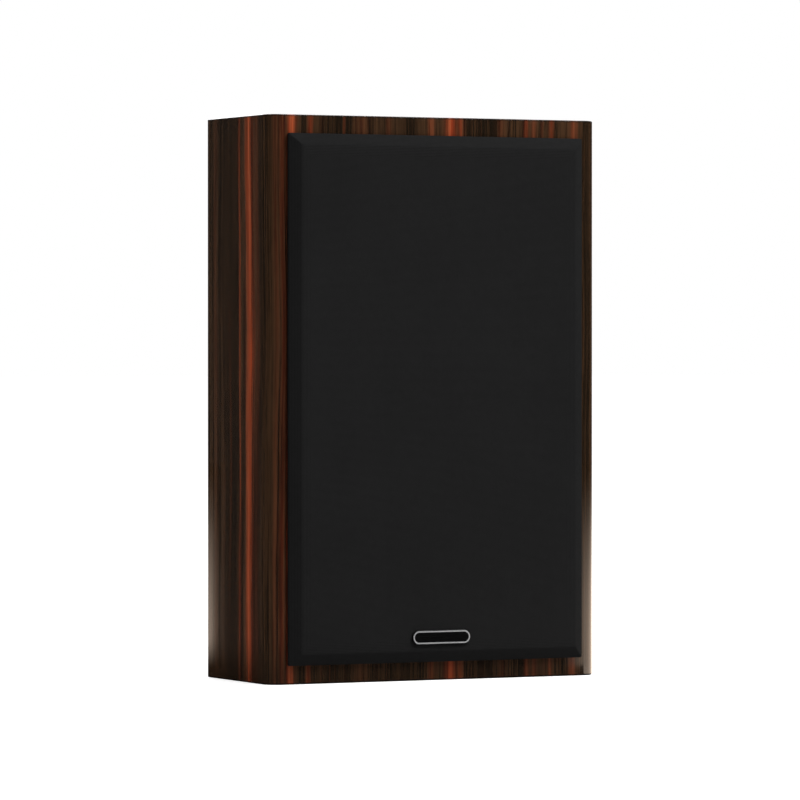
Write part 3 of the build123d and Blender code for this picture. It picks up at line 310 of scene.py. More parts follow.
class Effects:
    """Makes each shared shader node group once and hands it out."""

    def __init__(self) -> None:
        """Start with no groups."""
        self.made: dict[Effect, Tree] = {}
        self.makers: dict[Effect, Callable[[Tree], None]] = {
            Effect.FIGURE: self.figure,
            Effect.SKIN: self.skin,
            Effect.WEAVE: self.weave,
            Effect.TURNING: self.turning,
        }

    def place(self, graph: Graph, effect: Effect, feeds: dict) -> tuple[Socket, ...]:
        """Put an effect into a material, with its group made on the first call.

        Args:
            graph: The material's nodes.
            effect: Which effect.
            feeds: Its inputs by name.

        Returns:
            The group's outputs, in order.
        """
        if effect not in self.made:
            self.made[effect] = bpy.data.node_groups.new(effect.value, "ShaderNodeTree")
            self.makers[effect](self.made[effect])
        return tuple(graph.add("ShaderNodeGroup", feeds, node_tree=self.made[effect]).outputs)

    def ends(
        self, tree: Tree, inputs: dict[str, float | None], outputs: Sequence[str]
    ) -> tuple[Graph, list[Socket], Node]:
        """Name a group's sockets and add its two end nodes.

        Args:
            tree: The group.
            inputs: Input names, with a default for a number and None for a vector.
            outputs: Output names.

        Returns:
            The group's graph, what comes in and the output node.
        """
        for name, default in inputs.items():
            kind = "NodeSocketVector" if default is None else "NodeSocketFloat"
            socket = tree.interface.new_socket(name, in_out="INPUT", socket_type=kind)
            if default is not None:
                socket.default_value = default
        for name in outputs:
            tree.interface.new_socket(name, in_out="OUTPUT", socket_type="NodeSocketFloat")
        graph = Graph(tree)
        start = graph.add("NodeGroupInput")
        return graph, list(start.outputs)[: len(inputs)], graph.add("NodeGroupOutput")

    def bands(self, graph: Graph, across: Socket, streaks: Sequence[Streak]) -> Socket:
        """Strength of the named streaks at a place across the grain.

        Args:
            graph: The group's nodes.
            across: The place, in millimetres.
            streaks: The streaks.

        Returns:
            The strength, from 0 to 1.
        """
        bells: list[Feed] = [0.0]
        for streak in streaks:
            off = graph.calc("SUBTRACT", across, streak.place)
            near = graph.calc("DIVIDE", off, streak.half_width)
            bell = graph.calc("POWER", BELL_BASE, graph.times(near, near, -1.0))
            bells.append(graph.times(bell, streak.strength))
        return graph.most(*bells)

    def grain(self, graph: Graph, across: Socket, along: Socket, grain: Grain) -> Socket:
        """Noise of one grain, around a half.

        Args:
            graph: The group's nodes.
            across: The place across the grain, in millimetres.
            along: The place along it.
            grain: The grain.

        Returns:
            The noise value.
        """
        wide = graph.calc("DIVIDE", across, grain.across)
        tall = graph.calc("DIVIDE", along, grain.along)
        return graph.cloud(graph.joined(wide, grain.shift, tall), 1.0, grain.layers, grain.rough)

    def figure(self, tree: Tree) -> None:
        """Figure of streaky veneer: X runs across the grain and Z along it, in millimetres.

        Args:
            tree: The group.
        """
        graph, (vector,), end = self.ends(tree, {"Vector": None}, ["Tone", "Streak", "Pore"])
        across, _, along = graph.split(vector)
        swing = graph.calc("SUBTRACT", self.grain(graph, across, along, DRIFT), 0.5)
        bent = graph.calc("MULTIPLY_ADD", swing, DRIFT_SWING, across)

        def read(grain: Grain, to_low: float = 0.0, to_high: float = 1.0) -> Socket:
            """Grain on the bent veneer, its span mapped to a range."""
            value = self.grain(graph, bent, along, grain)
            return graph.scaled(value, *grain.span, to_low, to_high)

        layers = {grain: read(grain) for grain, _ in TONE_LAYERS}
        tone: Feed = 0.0
        for grain, share in TONE_LAYERS:
            tone = graph.calc("MULTIPLY_ADD", layers[grain], share, tone)
        light = graph.calc("SUBTRACT", 1.0, self.bands(graph, bent, DARK_BANDS))
        # painted shade: the tone darkens towards the bottom edge
        light = graph.times(light, graph.scaled(along, *FOOT_SHADE))
        threads = graph.scaled(layers[FINE], 0.0, 0.75, 0.65, 1.0)
        # painted shade: the red streaks fade towards the bottom edge
        threads = graph.times(threads, graph.scaled(along, *STREAK_FOOT_SHADE))
        ragged = graph.calc("SUBTRACT", self.grain(graph, bent, along, TEAR), 0.5)
        torn = graph.calc("MULTIPLY_ADD", ragged, TEAR_SWING, bent)
        streaks = graph.times(self.bands(graph, torn, STREAKS), read(FADING, 0.5))
        streaks = graph.most(streaks, read(STRAY, 0.0, STRAY_STRENGTH))
        outcome = {
            "Tone": graph.times(graph.scaled(tone, *TONE_SPAN), light),
            "Streak": graph.times(streaks, threads),
            "Pore": read(PORES),
        }
        graph.feed(end, outcome)

    def skin(self, tree: Tree) -> None:
        """Fine skin of moulded, painted or cast pieces: Grain is its size in metres.

        Args:
            tree: The group.
        """
        inputs = {"Vector": None, "Grain": 0.0006}
        graph, (vector, grain), end = self.ends(tree, inputs, ["Mottle", "Height"])
        scale = graph.calc("DIVIDE", 1.0, grain)
        close = graph.cloud(vector, scale, 2.0, 0.55)
        wide = graph.cloud(vector, graph.times(scale, 0.045), 3.0, 0.6)
        mixed = graph.calc("MULTIPLY_ADD", close, 0.4, graph.times(wide, 0.6))
        graph.feed(end, {"Mottle": graph.scaled(mixed, 0.34, 0.66), "Height": close})

    def weave(self, tree: Tree) -> None:
        """Over-and-under weave on a flat pattern: X, Y and the Pitch of its threads in metres.

        Args:
            tree: The group.
        """
        inputs = {"Vector": None, "Pitch": 0.0006}
        graph, (vector, pitch), end = self.ends(tree, inputs, ["Thread", "Height"])
        x, y, _ = graph.split(vector)
        turn = graph.calc("DIVIDE", math.pi, pitch)
        waves = [graph.calc("SINE", graph.times(run, turn)) for run in (x, y)]
        over = graph.calc("GREATER_THAN", graph.times(*waves), 0.0)
        warp, weft = (graph.calc("ABSOLUTE", wave) for wave in waves)
        top = graph.times(warp, graph.calc("MULTIPLY_ADD", weft, 0.5, 0.5))
        low = graph.times(weft, graph.calc("MULTIPLY_ADD", warp, 0.5, 0.5))
        height = graph.between(over, low, top)
        graph.feed(end, {"Thread": graph.scaled(height, 0.05, 0.6), "Height": height})

    def turning(self, tree: Tree) -> None:
        """Lathe lines around the Y axis of the vector: Pitch is their spacing in metres.

        Args:
            tree: The group.
        """
        inputs = {"Vector": None, "Pitch": 0.0004}
        graph, (vector, pitch), end = self.ends(tree, inputs, ["Line", "Mottle"])
        x, _, z = graph.split(vector)
        rings = graph.joined(graph.calc("DIVIDE", graph.away(x, z), pitch), 0.0, 0.0)
        line, mottle = graph.cloud(rings, 1.0, 1.0), graph.cloud(vector, 140.0, 3.0, 0.6)
        graph.feed(end, {"Line": line, "Mottle": mottle})


EFFECTS = Effects()


def new_material(name: str) -> tuple[Material, Graph, Node]:
    """Make a material to be wired.

    Args:
        name: Its name.

    Returns:
        The material, its graph and its Principled shader.
    """
    made = bpy.data.materials.new(name)
    made.use_nodes = True
    return made, Graph(made.node_tree), made.node_tree.nodes["Principled BSDF"]


@dataclass(frozen=True)
class Finish:
    """What every finish has: a name, a colour and how rough it is."""

    name: str
    colour: Colour
    roughness: float

    def material(self) -> Material:
        """The finish as a material, made on the first call.

        Returns:
            The material.
        """
        found = bpy.data.materials.get(self.name)
        if found is None:
            found, graph, shader = new_material(self.name)
            found.diffuse_color = shade(self.colour)
            graph.feed(shader, self.paint(graph))
        return found

    def paint(self, graph: Graph) -> dict[str, Feed]:
        """Make the nodes of the finish.

        Args:
            graph: The material's nodes.

        Returns:
            What goes into the Principled shader, by the name of its input.
        """
        raise NotImplementedError

    def skin(self, graph: Graph, grain: float) -> tuple[Socket, ...]:
        """Mottle and height of a fine skin, with its grain in millimetres."""
        return EFFECTS.place(graph, Effect.SKIN, {"Vector": graph.spot(), "Grain": grain * MM})

    def sheen(self, graph: Graph, share: Feed, spread: float) -> Socket:
        """Roughness that wanders by a spread either way."""
        low, high = max(0.03, self.roughness - spread), min(1.0, self.roughness + spread)
        return graph.scaled(share, 0.0, 1.0, low, high)

    def bump(self, graph: Graph, height: Feed, strength: float, reach: float) -> Socket:
        """Normal on a height from 0 to 1 that shows by a strength and reaches millimetres."""
        feeds = {"Height": height, "Strength": strength, "Distance": reach * MM}
        return graph.add("ShaderNodeBump", feeds).outputs["Normal"]


@dataclass(frozen=True)
class VeneerFinish(Finish):
    """Dark streaky veneer under gloss lacquer, with bare board inside."""

    light: Colour = (0.056, 0.027, 0.0125)
    red: Colour = (0.46, 0.064, 0.02)
    amber: Colour = (0.4, 0.085, 0.03)
    pore: Colour = (0.006, 0.004, 0.003)
    board: Colour = (0.33, 0.21, 0.12)
    board_shadow: Colour = (0.24, 0.15, 0.085)
    level_normal: float = 0.6
    # Bands in Z, in millimetres, that take painted shade along the top and bottom edges, and how dark it
    # gets.
    top_edge_shade: Point = (310.4, 311.7)
    bottom_edge_shade: Point = (0.3, 1.4)
    edge_shade_strength: float = 0.75
    outer_x: float = 99.3
    outer_depths: Point = (3.2, 78.6)
    outer_z: float = 154.5

    def paint(self, graph: Graph) -> dict[str, Feed]:
        """Grain runs upright on the front and sides and on over the top and base.

        Args:
            graph: The material's nodes.

        Returns:
            What goes into the Principled shader.
        """
        x, y, z = graph.millimetres()
        up = graph.calc("ABSOLUTE", graph.split(graph.spot("Normal"))[2])
        level = graph.calc("GREATER_THAN", up, self.level_normal)
        depth, above = graph.calc("SUBTRACT", y, FRONT_Y), graph.calc("SUBTRACT", z, MIDDLE_Z)
        wrapped = graph.calc("MULTIPLY_ADD", graph.calc("SIGN", x), depth, x)
        over = graph.calc("MULTIPLY_ADD", graph.calc("SIGN", above), depth, z)
        across, along = graph.between(level, wrapped, x), graph.between(level, z, over)
        vector = graph.joined(across, 0.0, along)
        tone, streak, pore = EFFECTS.place(graph, Effect.FIGURE, {"Vector": vector})
        wood = graph.blend(tone, shade(self.colour), shade(self.light))
        wood = graph.blend(streak, wood, graph.blend(tone, shade(self.red), shade(self.amber)))
        wood = graph.blend(graph.times(pore, 0.3), wood, shade(self.pore))
        # Painted shade: a dark line along the top and bottom edges of the front and sides, standing in for
        # the shading of an edge rounding that the panels don't have.
        top_shade = graph.scaled(z, *self.top_edge_shade, 0.0, self.edge_shade_strength)
        bottom_shade = graph.scaled(z, *self.bottom_edge_shade, self.edge_shade_strength, 0.0)
        painted_edge_shade = graph.calc("SUBTRACT", graph.most(top_shade, bottom_shade), level)
        # the pore colour serves as the painted edge shade
        wood = graph.blend(painted_edge_shade, wood, shade(self.pore))
        mottle, _ = self.skin(graph, 0.9)
        board = graph.blend(mottle, shade(self.board), shade(self.board_shadow))
        outer = self.outside(graph, x, depth, above)
        gloss = graph.scaled(tone, 0.0, 1.0, self.roughness - 0.03, self.roughness + 0.05)
        return {
            "Base Color": graph.blend(outer, board, wood),
            "Roughness": graph.between(outer, 0.85, gloss),
            "Coat Weight": graph.times(outer, 0.5),
            "Coat Roughness": 0.08,
            "Specular IOR Level": 0.2,
            "Normal": self.bump(graph, graph.calc("SUBTRACT", 1.0, pore), 0.08, 0.04),
        }

    def outside(self, graph: Graph, x: Feed, depth: Feed, above: Feed) -> Socket:
        """1 on the outside of the cabinet and 0 on the board inside it.

        Args:
            graph: The material's nodes.
            x: Place across, in millimetres.
            depth: Depth behind the front of the baffle.
            above: Height above the middle.

        Returns:
            The mask.
        """
        front, back = self.outer_depths
        return graph.most(
            graph.calc("GREATER_THAN", graph.calc("ABSOLUTE", x), self.outer_x),
            graph.calc("LESS_THAN", depth, front),
            graph.calc("GREATER_THAN", depth, back),
            graph.calc("GREATER_THAN", graph.calc("ABSOLUTE", above), self.outer_z),
        )


@dataclass(frozen=True)
class SkinFinish(Finish):
    """Moulded, painted, pressed or cast surface with a fine skin."""

    grain: float = 0.6
    depth: float = 0.02
    spread: float = 0.35
    metallic: float = 0.0
    coat: float = 0.0
    strength: float = 0.3

    def paint(self, graph: Graph) -> dict[str, Feed]:
        """Tone and gloss wander over the skin.

        Args:
            graph: The material's nodes.

        Returns:
            What goes into the Principled shader.
        """
        mottle, height = self.skin(graph, self.grain)
        dark, pale = (shade(self.colour, 1.0 + side * self.spread) for side in (-1.0, 1.0))
        return {
            "Base Color": graph.blend(mottle, dark, pale),
            "Roughness": self.sheen(graph, mottle, 0.06),
            "Metallic": self.metallic,
            "Coat Weight": self.coat,
            "Coat Roughness": 0.1,
            "Normal": self.bump(graph, height, self.strength, self.depth),
        }


@dataclass(frozen=True)
class WovenFinish(Finish):
    """Woven cloth, bare or coated."""

    gap: Colour = (0.004, 0.004, 0.004)
    pitch: float = 0.6
    shine: float = 0.15
    by_uv: bool = False
    height: Point = (0.4, 0.12)

    def paint(self, graph: Graph) -> dict[str, Feed]:
        """Threads over dark gaps, with a little unevenness from thread to thread.

        Args:
            graph: The material's nodes.

        Returns:
            What goes into the Principled shader.
        """
        if self.by_uv:
            pattern = graph.spot("UV")
        else:
            x, _, z = graph.split(graph.spot())
            pattern = graph.joined(x, z, 0.0)
        feeds = {"Vector": pattern, "Pitch": self.pitch * MM}
        thread, height = EFFECTS.place(graph, Effect.WEAVE, feeds)
        mottle, _ = self.skin(graph, 2.5)
        yarn = graph.blend(mottle, shade(self.colour), shade(self.colour, 1.12))
        return {
            "Base Color": graph.blend(thread, shade(self.gap), yarn),
            "Roughness": graph.scaled(thread, 0.0, 1.0, 1.0, self.roughness),
            "Specular IOR Level": self.shine,
            "Normal": self.bump(graph, height, *self.height),
        }


@dataclass(frozen=True)
class TurnedFinish(Finish):
    """Turned metal, with its lathe lines round an axis along Y."""

    axis: Point = (0.0, 0.0)
    pitch: float = 0.35

    def paint(self, graph: Graph) -> dict[str, Feed]:
        """Fine rings in gloss and tone.

        Args:
            graph: The material's nodes.

        Returns:
            What goes into the Principled shader.
        """
        centre = (-self.axis[0] * MM, 0.0, -self.axis[1] * MM)
        moved = graph.add("ShaderNodeMapping", {"Vector": graph.spot(), "Location": centre})
        feeds = {"Vector": moved.outputs[0], "Pitch": self.pitch * MM}
        line, mottle = EFFECTS.place(graph, Effect.TURNING, feeds)
        share = graph.calc("MULTIPLY_ADD", line, 0.5, graph.times(mottle, 0.5))
        low, high = self.roughness * 0.7, min(1.0, self.roughness * 1.5)
        return {
            "Base Color": graph.blend(share, shade(self.colour, 0.72), shade(self.colour)),
            "Roughness": graph.scaled(line, 0.25, 0.75, low, high),
            "Metallic": 1.0,
            "Normal": self.bump(graph, line, 0.25, 0.02),
        }


@dataclass(frozen=True)
class BadgeFinish(Finish):
    """Blank badge: dark enamel with a bright ring."""

    rim: Colour = (0.66, 0.66, 0.67)
    half_straight: float = 14.0
    middle_z: float = 24.2
    ring: Point = (2.8, 3.55)
    soft: float = 0.05

    def paint(self, graph: Graph) -> dict[str, Feed]:
        """The bright ring follows the rounded outline, and the enamel is brushed lengthways.

        Args:
            graph: The material's nodes.

        Returns:
            What goes into the Principled shader.
        """
        x, _, z = graph.millimetres()
        past = graph.calc("SUBTRACT", graph.calc("ABSOLUTE", x), self.half_straight)
        above = graph.calc("SUBTRACT", z, self.middle_z)
        out = graph.away(graph.most(past, 0.0), above)
        edges = (graph.scaled(out, edge - self.soft, edge + self.soft) for edge in self.ring)
        rim = graph.calc("SUBTRACT", *edges)
        lengthways = graph.joined(graph.times(x, 0.06), 0.0, graph.times(z, 5.0))
        brush = graph.cloud(lengthways, 1.0)
        dark = graph.blend(brush, shade(self.colour), shade(self.colour, 1.8))
        bright = graph.blend(brush, shade(self.rim, 0.85), shade(self.rim))
        low, high = self.roughness - 0.08, self.roughness + 0.08
        return {
            "Base Color": graph.blend(rim, dark, bright),
            "Metallic": graph.times(rim, 0.55),
            "Specular IOR Level": 0.2,
            "Roughness": graph.scaled(brush, 0.2, 0.8, low, high),
            "Normal": self.bump(graph, rim, 0.4, 0.08),
        }


@dataclass(frozen=True)
class SleeveFinish(Finish):
    """Wire sleeves of a pair, with the second colour on the wire past a plane in X."""

    second: Colour = (0.3, 0.012, 0.01)
    dust: Colour = (0.2, 0.2, 0.2)
    parting: float = 0.0

    def paint(self, graph: Graph) -> dict[str, Feed]:
        """Soft vinyl with a faint skin.

        Args:
            graph: The material's nodes.

        Returns:
            What goes into the Principled shader.
        """
        mottle, height = self.skin(graph, 0.8)
        other = graph.calc("GREATER_THAN", graph.millimetres()[0], self.parting)
        tint = graph.blend(other, shade(self.colour), shade(self.second))
        return {
            "Base Color": graph.blend(graph.times(mottle, 0.12), tint, shade(self.dust)),
            "Roughness": self.sheen(graph, mottle, 0.08),
            "Normal": self.bump(graph, height, 0.2, 0.02),
        }


@dataclass(frozen=True)
class CircuitFinish(Finish):
    """Green circuit board with pale tracks under the lacquer."""

    track: Colour = (0.06, 0.27, 0.1)

    def paint(self, graph: Graph) -> dict[str, Feed]:
        """Broad tracks, parted along steps.

        Args:
            graph: The material's nodes.

        Returns:
            What goes into the Principled shader.
        """
        feeds = {"Vector": graph.spot(), "Scale": 95.0, "Randomness": 0.35}
        cells = graph.add(
            "ShaderNodeTexVoronoi", feeds, distance="MANHATTAN", feature="DISTANCE_TO_EDGE"
        )
        tracks = graph.scaled(cells.outputs[0], 0.04, 0.07)
        mottle, _ = self.skin(graph, 0.7)
        return {
            "Base Color": graph.blend(tracks, shade(self.colour), shade(self.track)),
            "Roughness": self.sheen(graph, mottle, 0.06),
            "Normal": self.bump(graph, tracks, 0.3, 0.04),
        }


VENEER = VeneerFinish("gloss_veneer", (0.0105, 0.0066, 0.0037), 0.14)
REAR_PAINT = SkinFinish(
    "rear_paint", (0.014, 0.014, 0.0145), 0.5, grain=0.9, depth=0.05, strength=0.35
)
RAW_BOARD = SkinFinish("raw_board", (0.4, 0.27, 0.16), 0.88, grain=0.7, depth=0.06, spread=0.18)
PAD_FOAM = SkinFinish(
    "pad_foam", (0.035, 0.035, 0.038), 0.95, grain=1.1, depth=0.5, spread=0.6, strength=0.9
)
GASKET_FOAM = SkinFinish(
    "gasket_foam", (0.016, 0.016, 0.016), 0.9, grain=0.5, depth=0.1, strength=0.6
)
ZINC = SkinFinish("zinc_plate", (0.5, 0.5, 0.51), 0.36, grain=1.4, depth=0.015, metallic=1.0)
FRAME_PLASTIC = SkinFinish(
    "frame_plastic", (0.016, 0.016, 0.0165), 0.55, grain=0.5, depth=0.03
)
GRILLE_CLOTH = WovenFinish(
    "grille_cloth_weave", (0.0132, 0.0132, 0.0133), 0.9, by_uv=True, shine=0.04
)
BADGE = BadgeFinish("blank_badge", (0.0016, 0.0016, 0.0017), 0.3)
RUBBER = SkinFinish("black_rubber", (0.014, 0.014, 0.014), 0.62, grain=0.7, spread=0.25)
BASKET_COAT = SkinFinish(
    "basket_powder_coat", (0.017, 0.017, 0.018), 0.45, grain=0.55, depth=0.06, strength=0.5
)
CONE_PULP = SkinFinish(
    "cone_pulp", (0.02, 0.02, 0.0215), 0.72, grain=1.3, depth=0.09, spread=0.45, strength=0.55
)
FORMER_FILM = SkinFinish("former_film", (0.42, 0.2, 0.045), 0.3, grain=1.5, depth=0.01, coat=0.3)
SPIDER_CLOTH = WovenFinish(
    "spider_cloth", (0.42, 0.28, 0.1), 0.85, gap=(0.16, 0.1, 0.03), pitch=0.8
)
DOME_SILK = WovenFinish(
    "coated_silk", (0.016, 0.016, 0.0175), 0.5, pitch=0.35, height=(0.25, 0.03)
)
FERRITE = SkinFinish("ferrite", (0.04, 0.04, 0.043), 0.75, grain=0.4, depth=0.04, strength=0.5)
BLACK_STEEL = SkinFinish(
    "black_steel", (0.018, 0.018, 0.0185), 0.34, grain=0.35, depth=0.01, metallic=0.6
)
STRIP_FIBRE = SkinFinish(
    "strip_fibre", (0.19, 0.09, 0.04), 0.7, grain=0.8, depth=0.03, spread=0.2
)
FACE_PLASTIC = SkinFinish(
    "face_plastic", (0.017, 0.017, 0.0175), 0.42, grain=0.45, depth=0.025
)
CUP_PLASTIC = SkinFinish(
    "cup_plastic", (0.016, 0.016, 0.0165), 0.46, grain=0.55, depth=0.035, strength=0.4
)
RED_PLASTIC = SkinFinish(
    "red_plastic", (0.42, 0.011, 0.009), 0.22, grain=1.2, depth=0.008, spread=0.1, coat=0.4
)
BLACK_PLASTIC = SkinFinish(
    "black_plastic", (0.012, 0.012, 0.0125), 0.22, grain=1.2, depth=0.008, coat=0.4
)
STEEL: Colour = (0.5, 0.5, 0.51)
GOLD: Colour = (0.83, 0.56, 0.2)
GOLD_PLATE = SkinFinish(
    "gold_plate", GOLD, 0.2, grain=1.6, depth=0.006, spread=0.08, metallic=1.0
)
CIRCUIT = CircuitFinish("circuit_board", (0.015, 0.1, 0.035), 0.35)
NYLON = SkinFinish("nylon", (0.66, 0.63, 0.55), 0.4, grain=0.8, depth=0.01, spread=0.06)
CAPACITOR_FILM = SkinFinish(
    "capacitor_film", (0.42, 0.24, 0.03), 0.2, grain=2.5, depth=0.03, spread=0.12, coat=0.5
)
RESISTOR_CERAMIC = SkinFinish(
    "resistor_ceramic", (0.7, 0.68, 0.62), 0.85, grain=0.5, depth=0.05, spread=0.08
)
TINSEL = SkinFinish(
    "tinsel_braid",
    (0.6, 0.34, 0.2),
    0.42,
    grain=0.35,
    depth=0.1,
    spread=0.3,
    metallic=0.8,
    strength=0.8,
)
ENAMEL_WIRE = SkinFinish(
    "enamelled_wire",
    (0.55, 0.19, 0.07),
    0.28,
    grain=0.8,
    depth=0.01,
    spread=0.2,
    metallic=0.9,
    coat=0.4,
)
INPUT_SLEEVE = SleeveFinish("input_sleeve", (0.012, 0.012, 0.012), 0.5)
PAIR_SLEEVE = SleeveFinish(
    "pair_sleeve", (0.014, 0.014, 0.014), 0.5, second=(0.016, 0.016, 0.018)
)


def dress(finish: Finish, *nodes: str) -> None:
    """Give solids that stay their finish.

    Args:
        finish: The finish.
        *nodes: Names of the solids.
    """
    for name in nodes:
        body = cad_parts[name]
        if not body.material_slots:
            body.data.materials.append(finish.material())
        for slot in body.material_slots:
            slot.link = "OBJECT"
            slot.material = finish.material()
        LOG.info("dressed %s in %s", name, finish.name)


def link(name: str, data: bpy.types.ID) -> Piece:
    """Put a mesh, curve, lamp or camera into the scene.

    Args:
        name: Name of the object.
        data: What it shows.

    Returns:
        The object.
    """
    made = bpy.data.objects.new(name, data)
    bpy.context.scene.collection.objects.link(made)
    return made


def smooth(mesh: Mesh, sharp: float) -> None:
    """Shade a mesh smooth.

    Args:
        mesh: The mesh.
        sharp: Angle in degrees past which an edge stays sharp.
    """
    for face in mesh.polygons:
        face.use_smooth = True
    mesh.set_sharp_from_angle(angle=math.radians(sharp))


def new_piece(name: str, mesh: Mesh, finish: Finish, sharp: float = 50.0) -> Piece:
    """Put a mesh into the scene as a piece.

    Args:
        name: Name of the piece.
        mesh: Its mesh, in place.
        finish: Its finish.
        sharp: Angle in degrees past which an edge stays sharp.

    Returns:
        The piece.
    """
    smooth(mesh, sharp)
    mesh.materials.append(finish.material())
    return link(name, mesh)


def settle(piece: Piece, body: str, slot: str, *nodes: str) -> Piece:
    """Say what a piece rides on and stands for.

    Args:
        piece: The piece.
        body: The body that carries it.
        slot: Not used.
        *nodes: The solids it stands for.

    Returns:
        The piece.
    """
    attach(piece, body)
    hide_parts(*nodes)
    LOG.info("built %s on %s", piece.name, body)
    return piece


def plain_mesh(name: str, shape: Shape) -> Mesh:
    """Turn a bmesh into a mesh as it is.

    Args:
        name: Name of the mesh.
        shape: The bmesh, which is freed.

    Returns:
        The mesh.
    """
    mesh = bpy.data.meshes.new(name)
    shape.to_mesh(mesh)
    shape.free()
    return mesh


def closed_mesh(name: str, shape: Shape) -> Mesh:
    """Turn a bmesh into a mesh without doubled points, whose faces point outwards.

    Args:
        name: Name of the mesh.
        shape: The bmesh, which is freed.

    Returns:
        The mesh.
    """
    bmesh.ops.remove_doubles(shape, verts=shape.verts, dist=WELD)
    bmesh.ops.recalc_face_normals(shape, faces=shape.faces)
    return plain_mesh(name, shape)


def bridge(shape: Shape, rows: Sequence[Sequence[Vertex]], closed: bool = True) -> None:
    """Join neighbouring rows of points with four-cornered faces.

    Args:
        shape: The bmesh.
        rows: Rows with the same number of points.
        closed: Whether the last point of a row joins its first.
    """
    for first, second in zip(rows, rows[1:]):
        count = len(first)
        for n in range(count if closed else count - 1):
            after = (n + 1) % count
            shape.faces.new((first[n], first[after], second[after], second[n]))


def turned_mesh(name: str, outline: Sequence[Point], axis: Point, steps: int) -> Mesh:
    """Turn a closed outline round an axis along Y.

    Args:
        name: Name of the mesh.
        outline: Radius and depth of each corner, in millimetres.
        axis: X and Z of the axis, in millimetres.
        steps: Number of steps round.

    Returns:
        The closed mesh.
    """
    shape = bmesh.new()
    rings = []
    for step in range(steps):
        angle = 2.0 * math.pi * step / steps
        ring = []
        for radius, depth in outline:
            x, z = axis[0] + radius * math.cos(angle), axis[1] + radius * math.sin(angle)
            ring.append(shape.verts.new(at(x, depth, z)))
        rings.append(ring)
    bridge(shape, rings + rings[:1])
    return closed_mesh(name, shape)


def drawn_mesh(name: str, carrier: Piece) -> Mesh:
    """Keep the final mesh of a curve or of an object with modifiers.

    Args:
        name: Name of the mesh.
        carrier: The object, which is removed.

    Returns:
        The mesh.
    """
    bpy.context.view_layer.update()
    ready = carrier.evaluated_get(bpy.context.evaluated_depsgraph_get())
    mesh = bpy.data.meshes.new_from_object(ready)
    mesh.name = name
    carrier.modifiers.clear()
    bpy.data.objects.remove(carrier)
    return mesh


def arc(centre: Point, radius: float, start: float, end: float, steps: int) -> list[Point]:
    """Points on an arc.

    Args:
        centre: Its centre.
        radius: Its radius.
        start: First angle in degrees.
        end: Last angle in degrees.
        steps: Number of steps.

    Returns:
        The points, both ends among them.
    """
    angles = [math.radians(start + (end - start) * n / steps) for n in range(steps + 1)]
    return [(centre[0] + radius * math.cos(a), centre[1] + radius * math.sin(a)) for a in angles]


def flex(
    piece: Piece, mover: str, weigh: Callable[[Vector], float], start: Vector, end: Vector
) -> None:
    """Let a piece flex between the cabinet and a moving part.

    Args:
        piece: The piece, with its final mesh.
        mover: The moving body.
        weigh: Share of the movement that a point follows, from its place in metres.
        start: A point that stays.
        end: A point that moves.
    """
    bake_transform(piece, "cabinet", mover, start, end)
    shares = piece.data.attributes["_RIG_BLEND"].data
    for point, share in zip(piece.data.vertices, shares):
        value = min(1.0, max(0.0, weigh(point.co)))
        share.value = value * value * (3.0 - 2.0 * value)
    LOG.info("built %s between cabinet and %s", piece.name, mover)


class NodeShape:
    """A Geometry Nodes tree with named inputs, and the plain mesh that comes out of it."""

    def __init__(self, name: str, inputs: dict[str, str]) -> None:
        """Make the empty tree.

        Args:
            name: Name of the tree.
            inputs: Socket type of each input, by name.
        """
        self.tree = bpy.data.node_groups.new(name, "GeometryNodeTree")
        face = self.tree.interface
        face.new_socket("Geometry", in_out="INPUT", socket_type="NodeSocketGeometry")
        self.keys = {
            label: face.new_socket(label, in_out="INPUT", socket_type=kind).identifier
            for label, kind in inputs.items()
        }
        face.new_socket("Geometry", in_out="OUTPUT", socket_type="NodeSocketGeometry")
        self.graph = Graph(self.tree)
        self.given = self.graph.add("NodeGroupInput").outputs
        self.end = self.graph.add("NodeGroupOutput")

    def finish(self, geometry: Socket) -> None:
        """End the tree in real geometry with its material.

        Args:
            geometry: What the tree has made.
        """
        real = self.graph.add("GeometryNodeRealizeInstances", {0: geometry})
        soft = self.graph.add("GeometryNodeSetShadeSmooth", {0: real.outputs[0]})
        feeds = {0: soft.outputs[0], "Material": self.given["Material"]}
        tinted = self.graph.add("GeometryNodeSetMaterial", feeds)
        self.graph.feed(self.end, {0: tinted.outputs[0]})

    def make(self, name: str, mesh: Mesh, values: dict[str, object]) -> Piece:
        """Run the tree on a mesh.

        Args:
            name: Name of the result.
            mesh: What the tree starts from.
            values: Value of each input, by name.

        Returns:
            A piece with a plain mesh.
        """
        carrier = link(name + "_carrier", mesh)
        modifier = carrier.modifiers.new("nodes", "NODES")
        modifier.node_group = self.tree
        for label, value in values.items():
            modifier[self.keys[label]] = value
        return link(name, drawn_mesh(name, carrier))


class Way(Enum):
    """Which way a screw goes in."""

    BACKWARDS = 1
    FORWARDS = -1


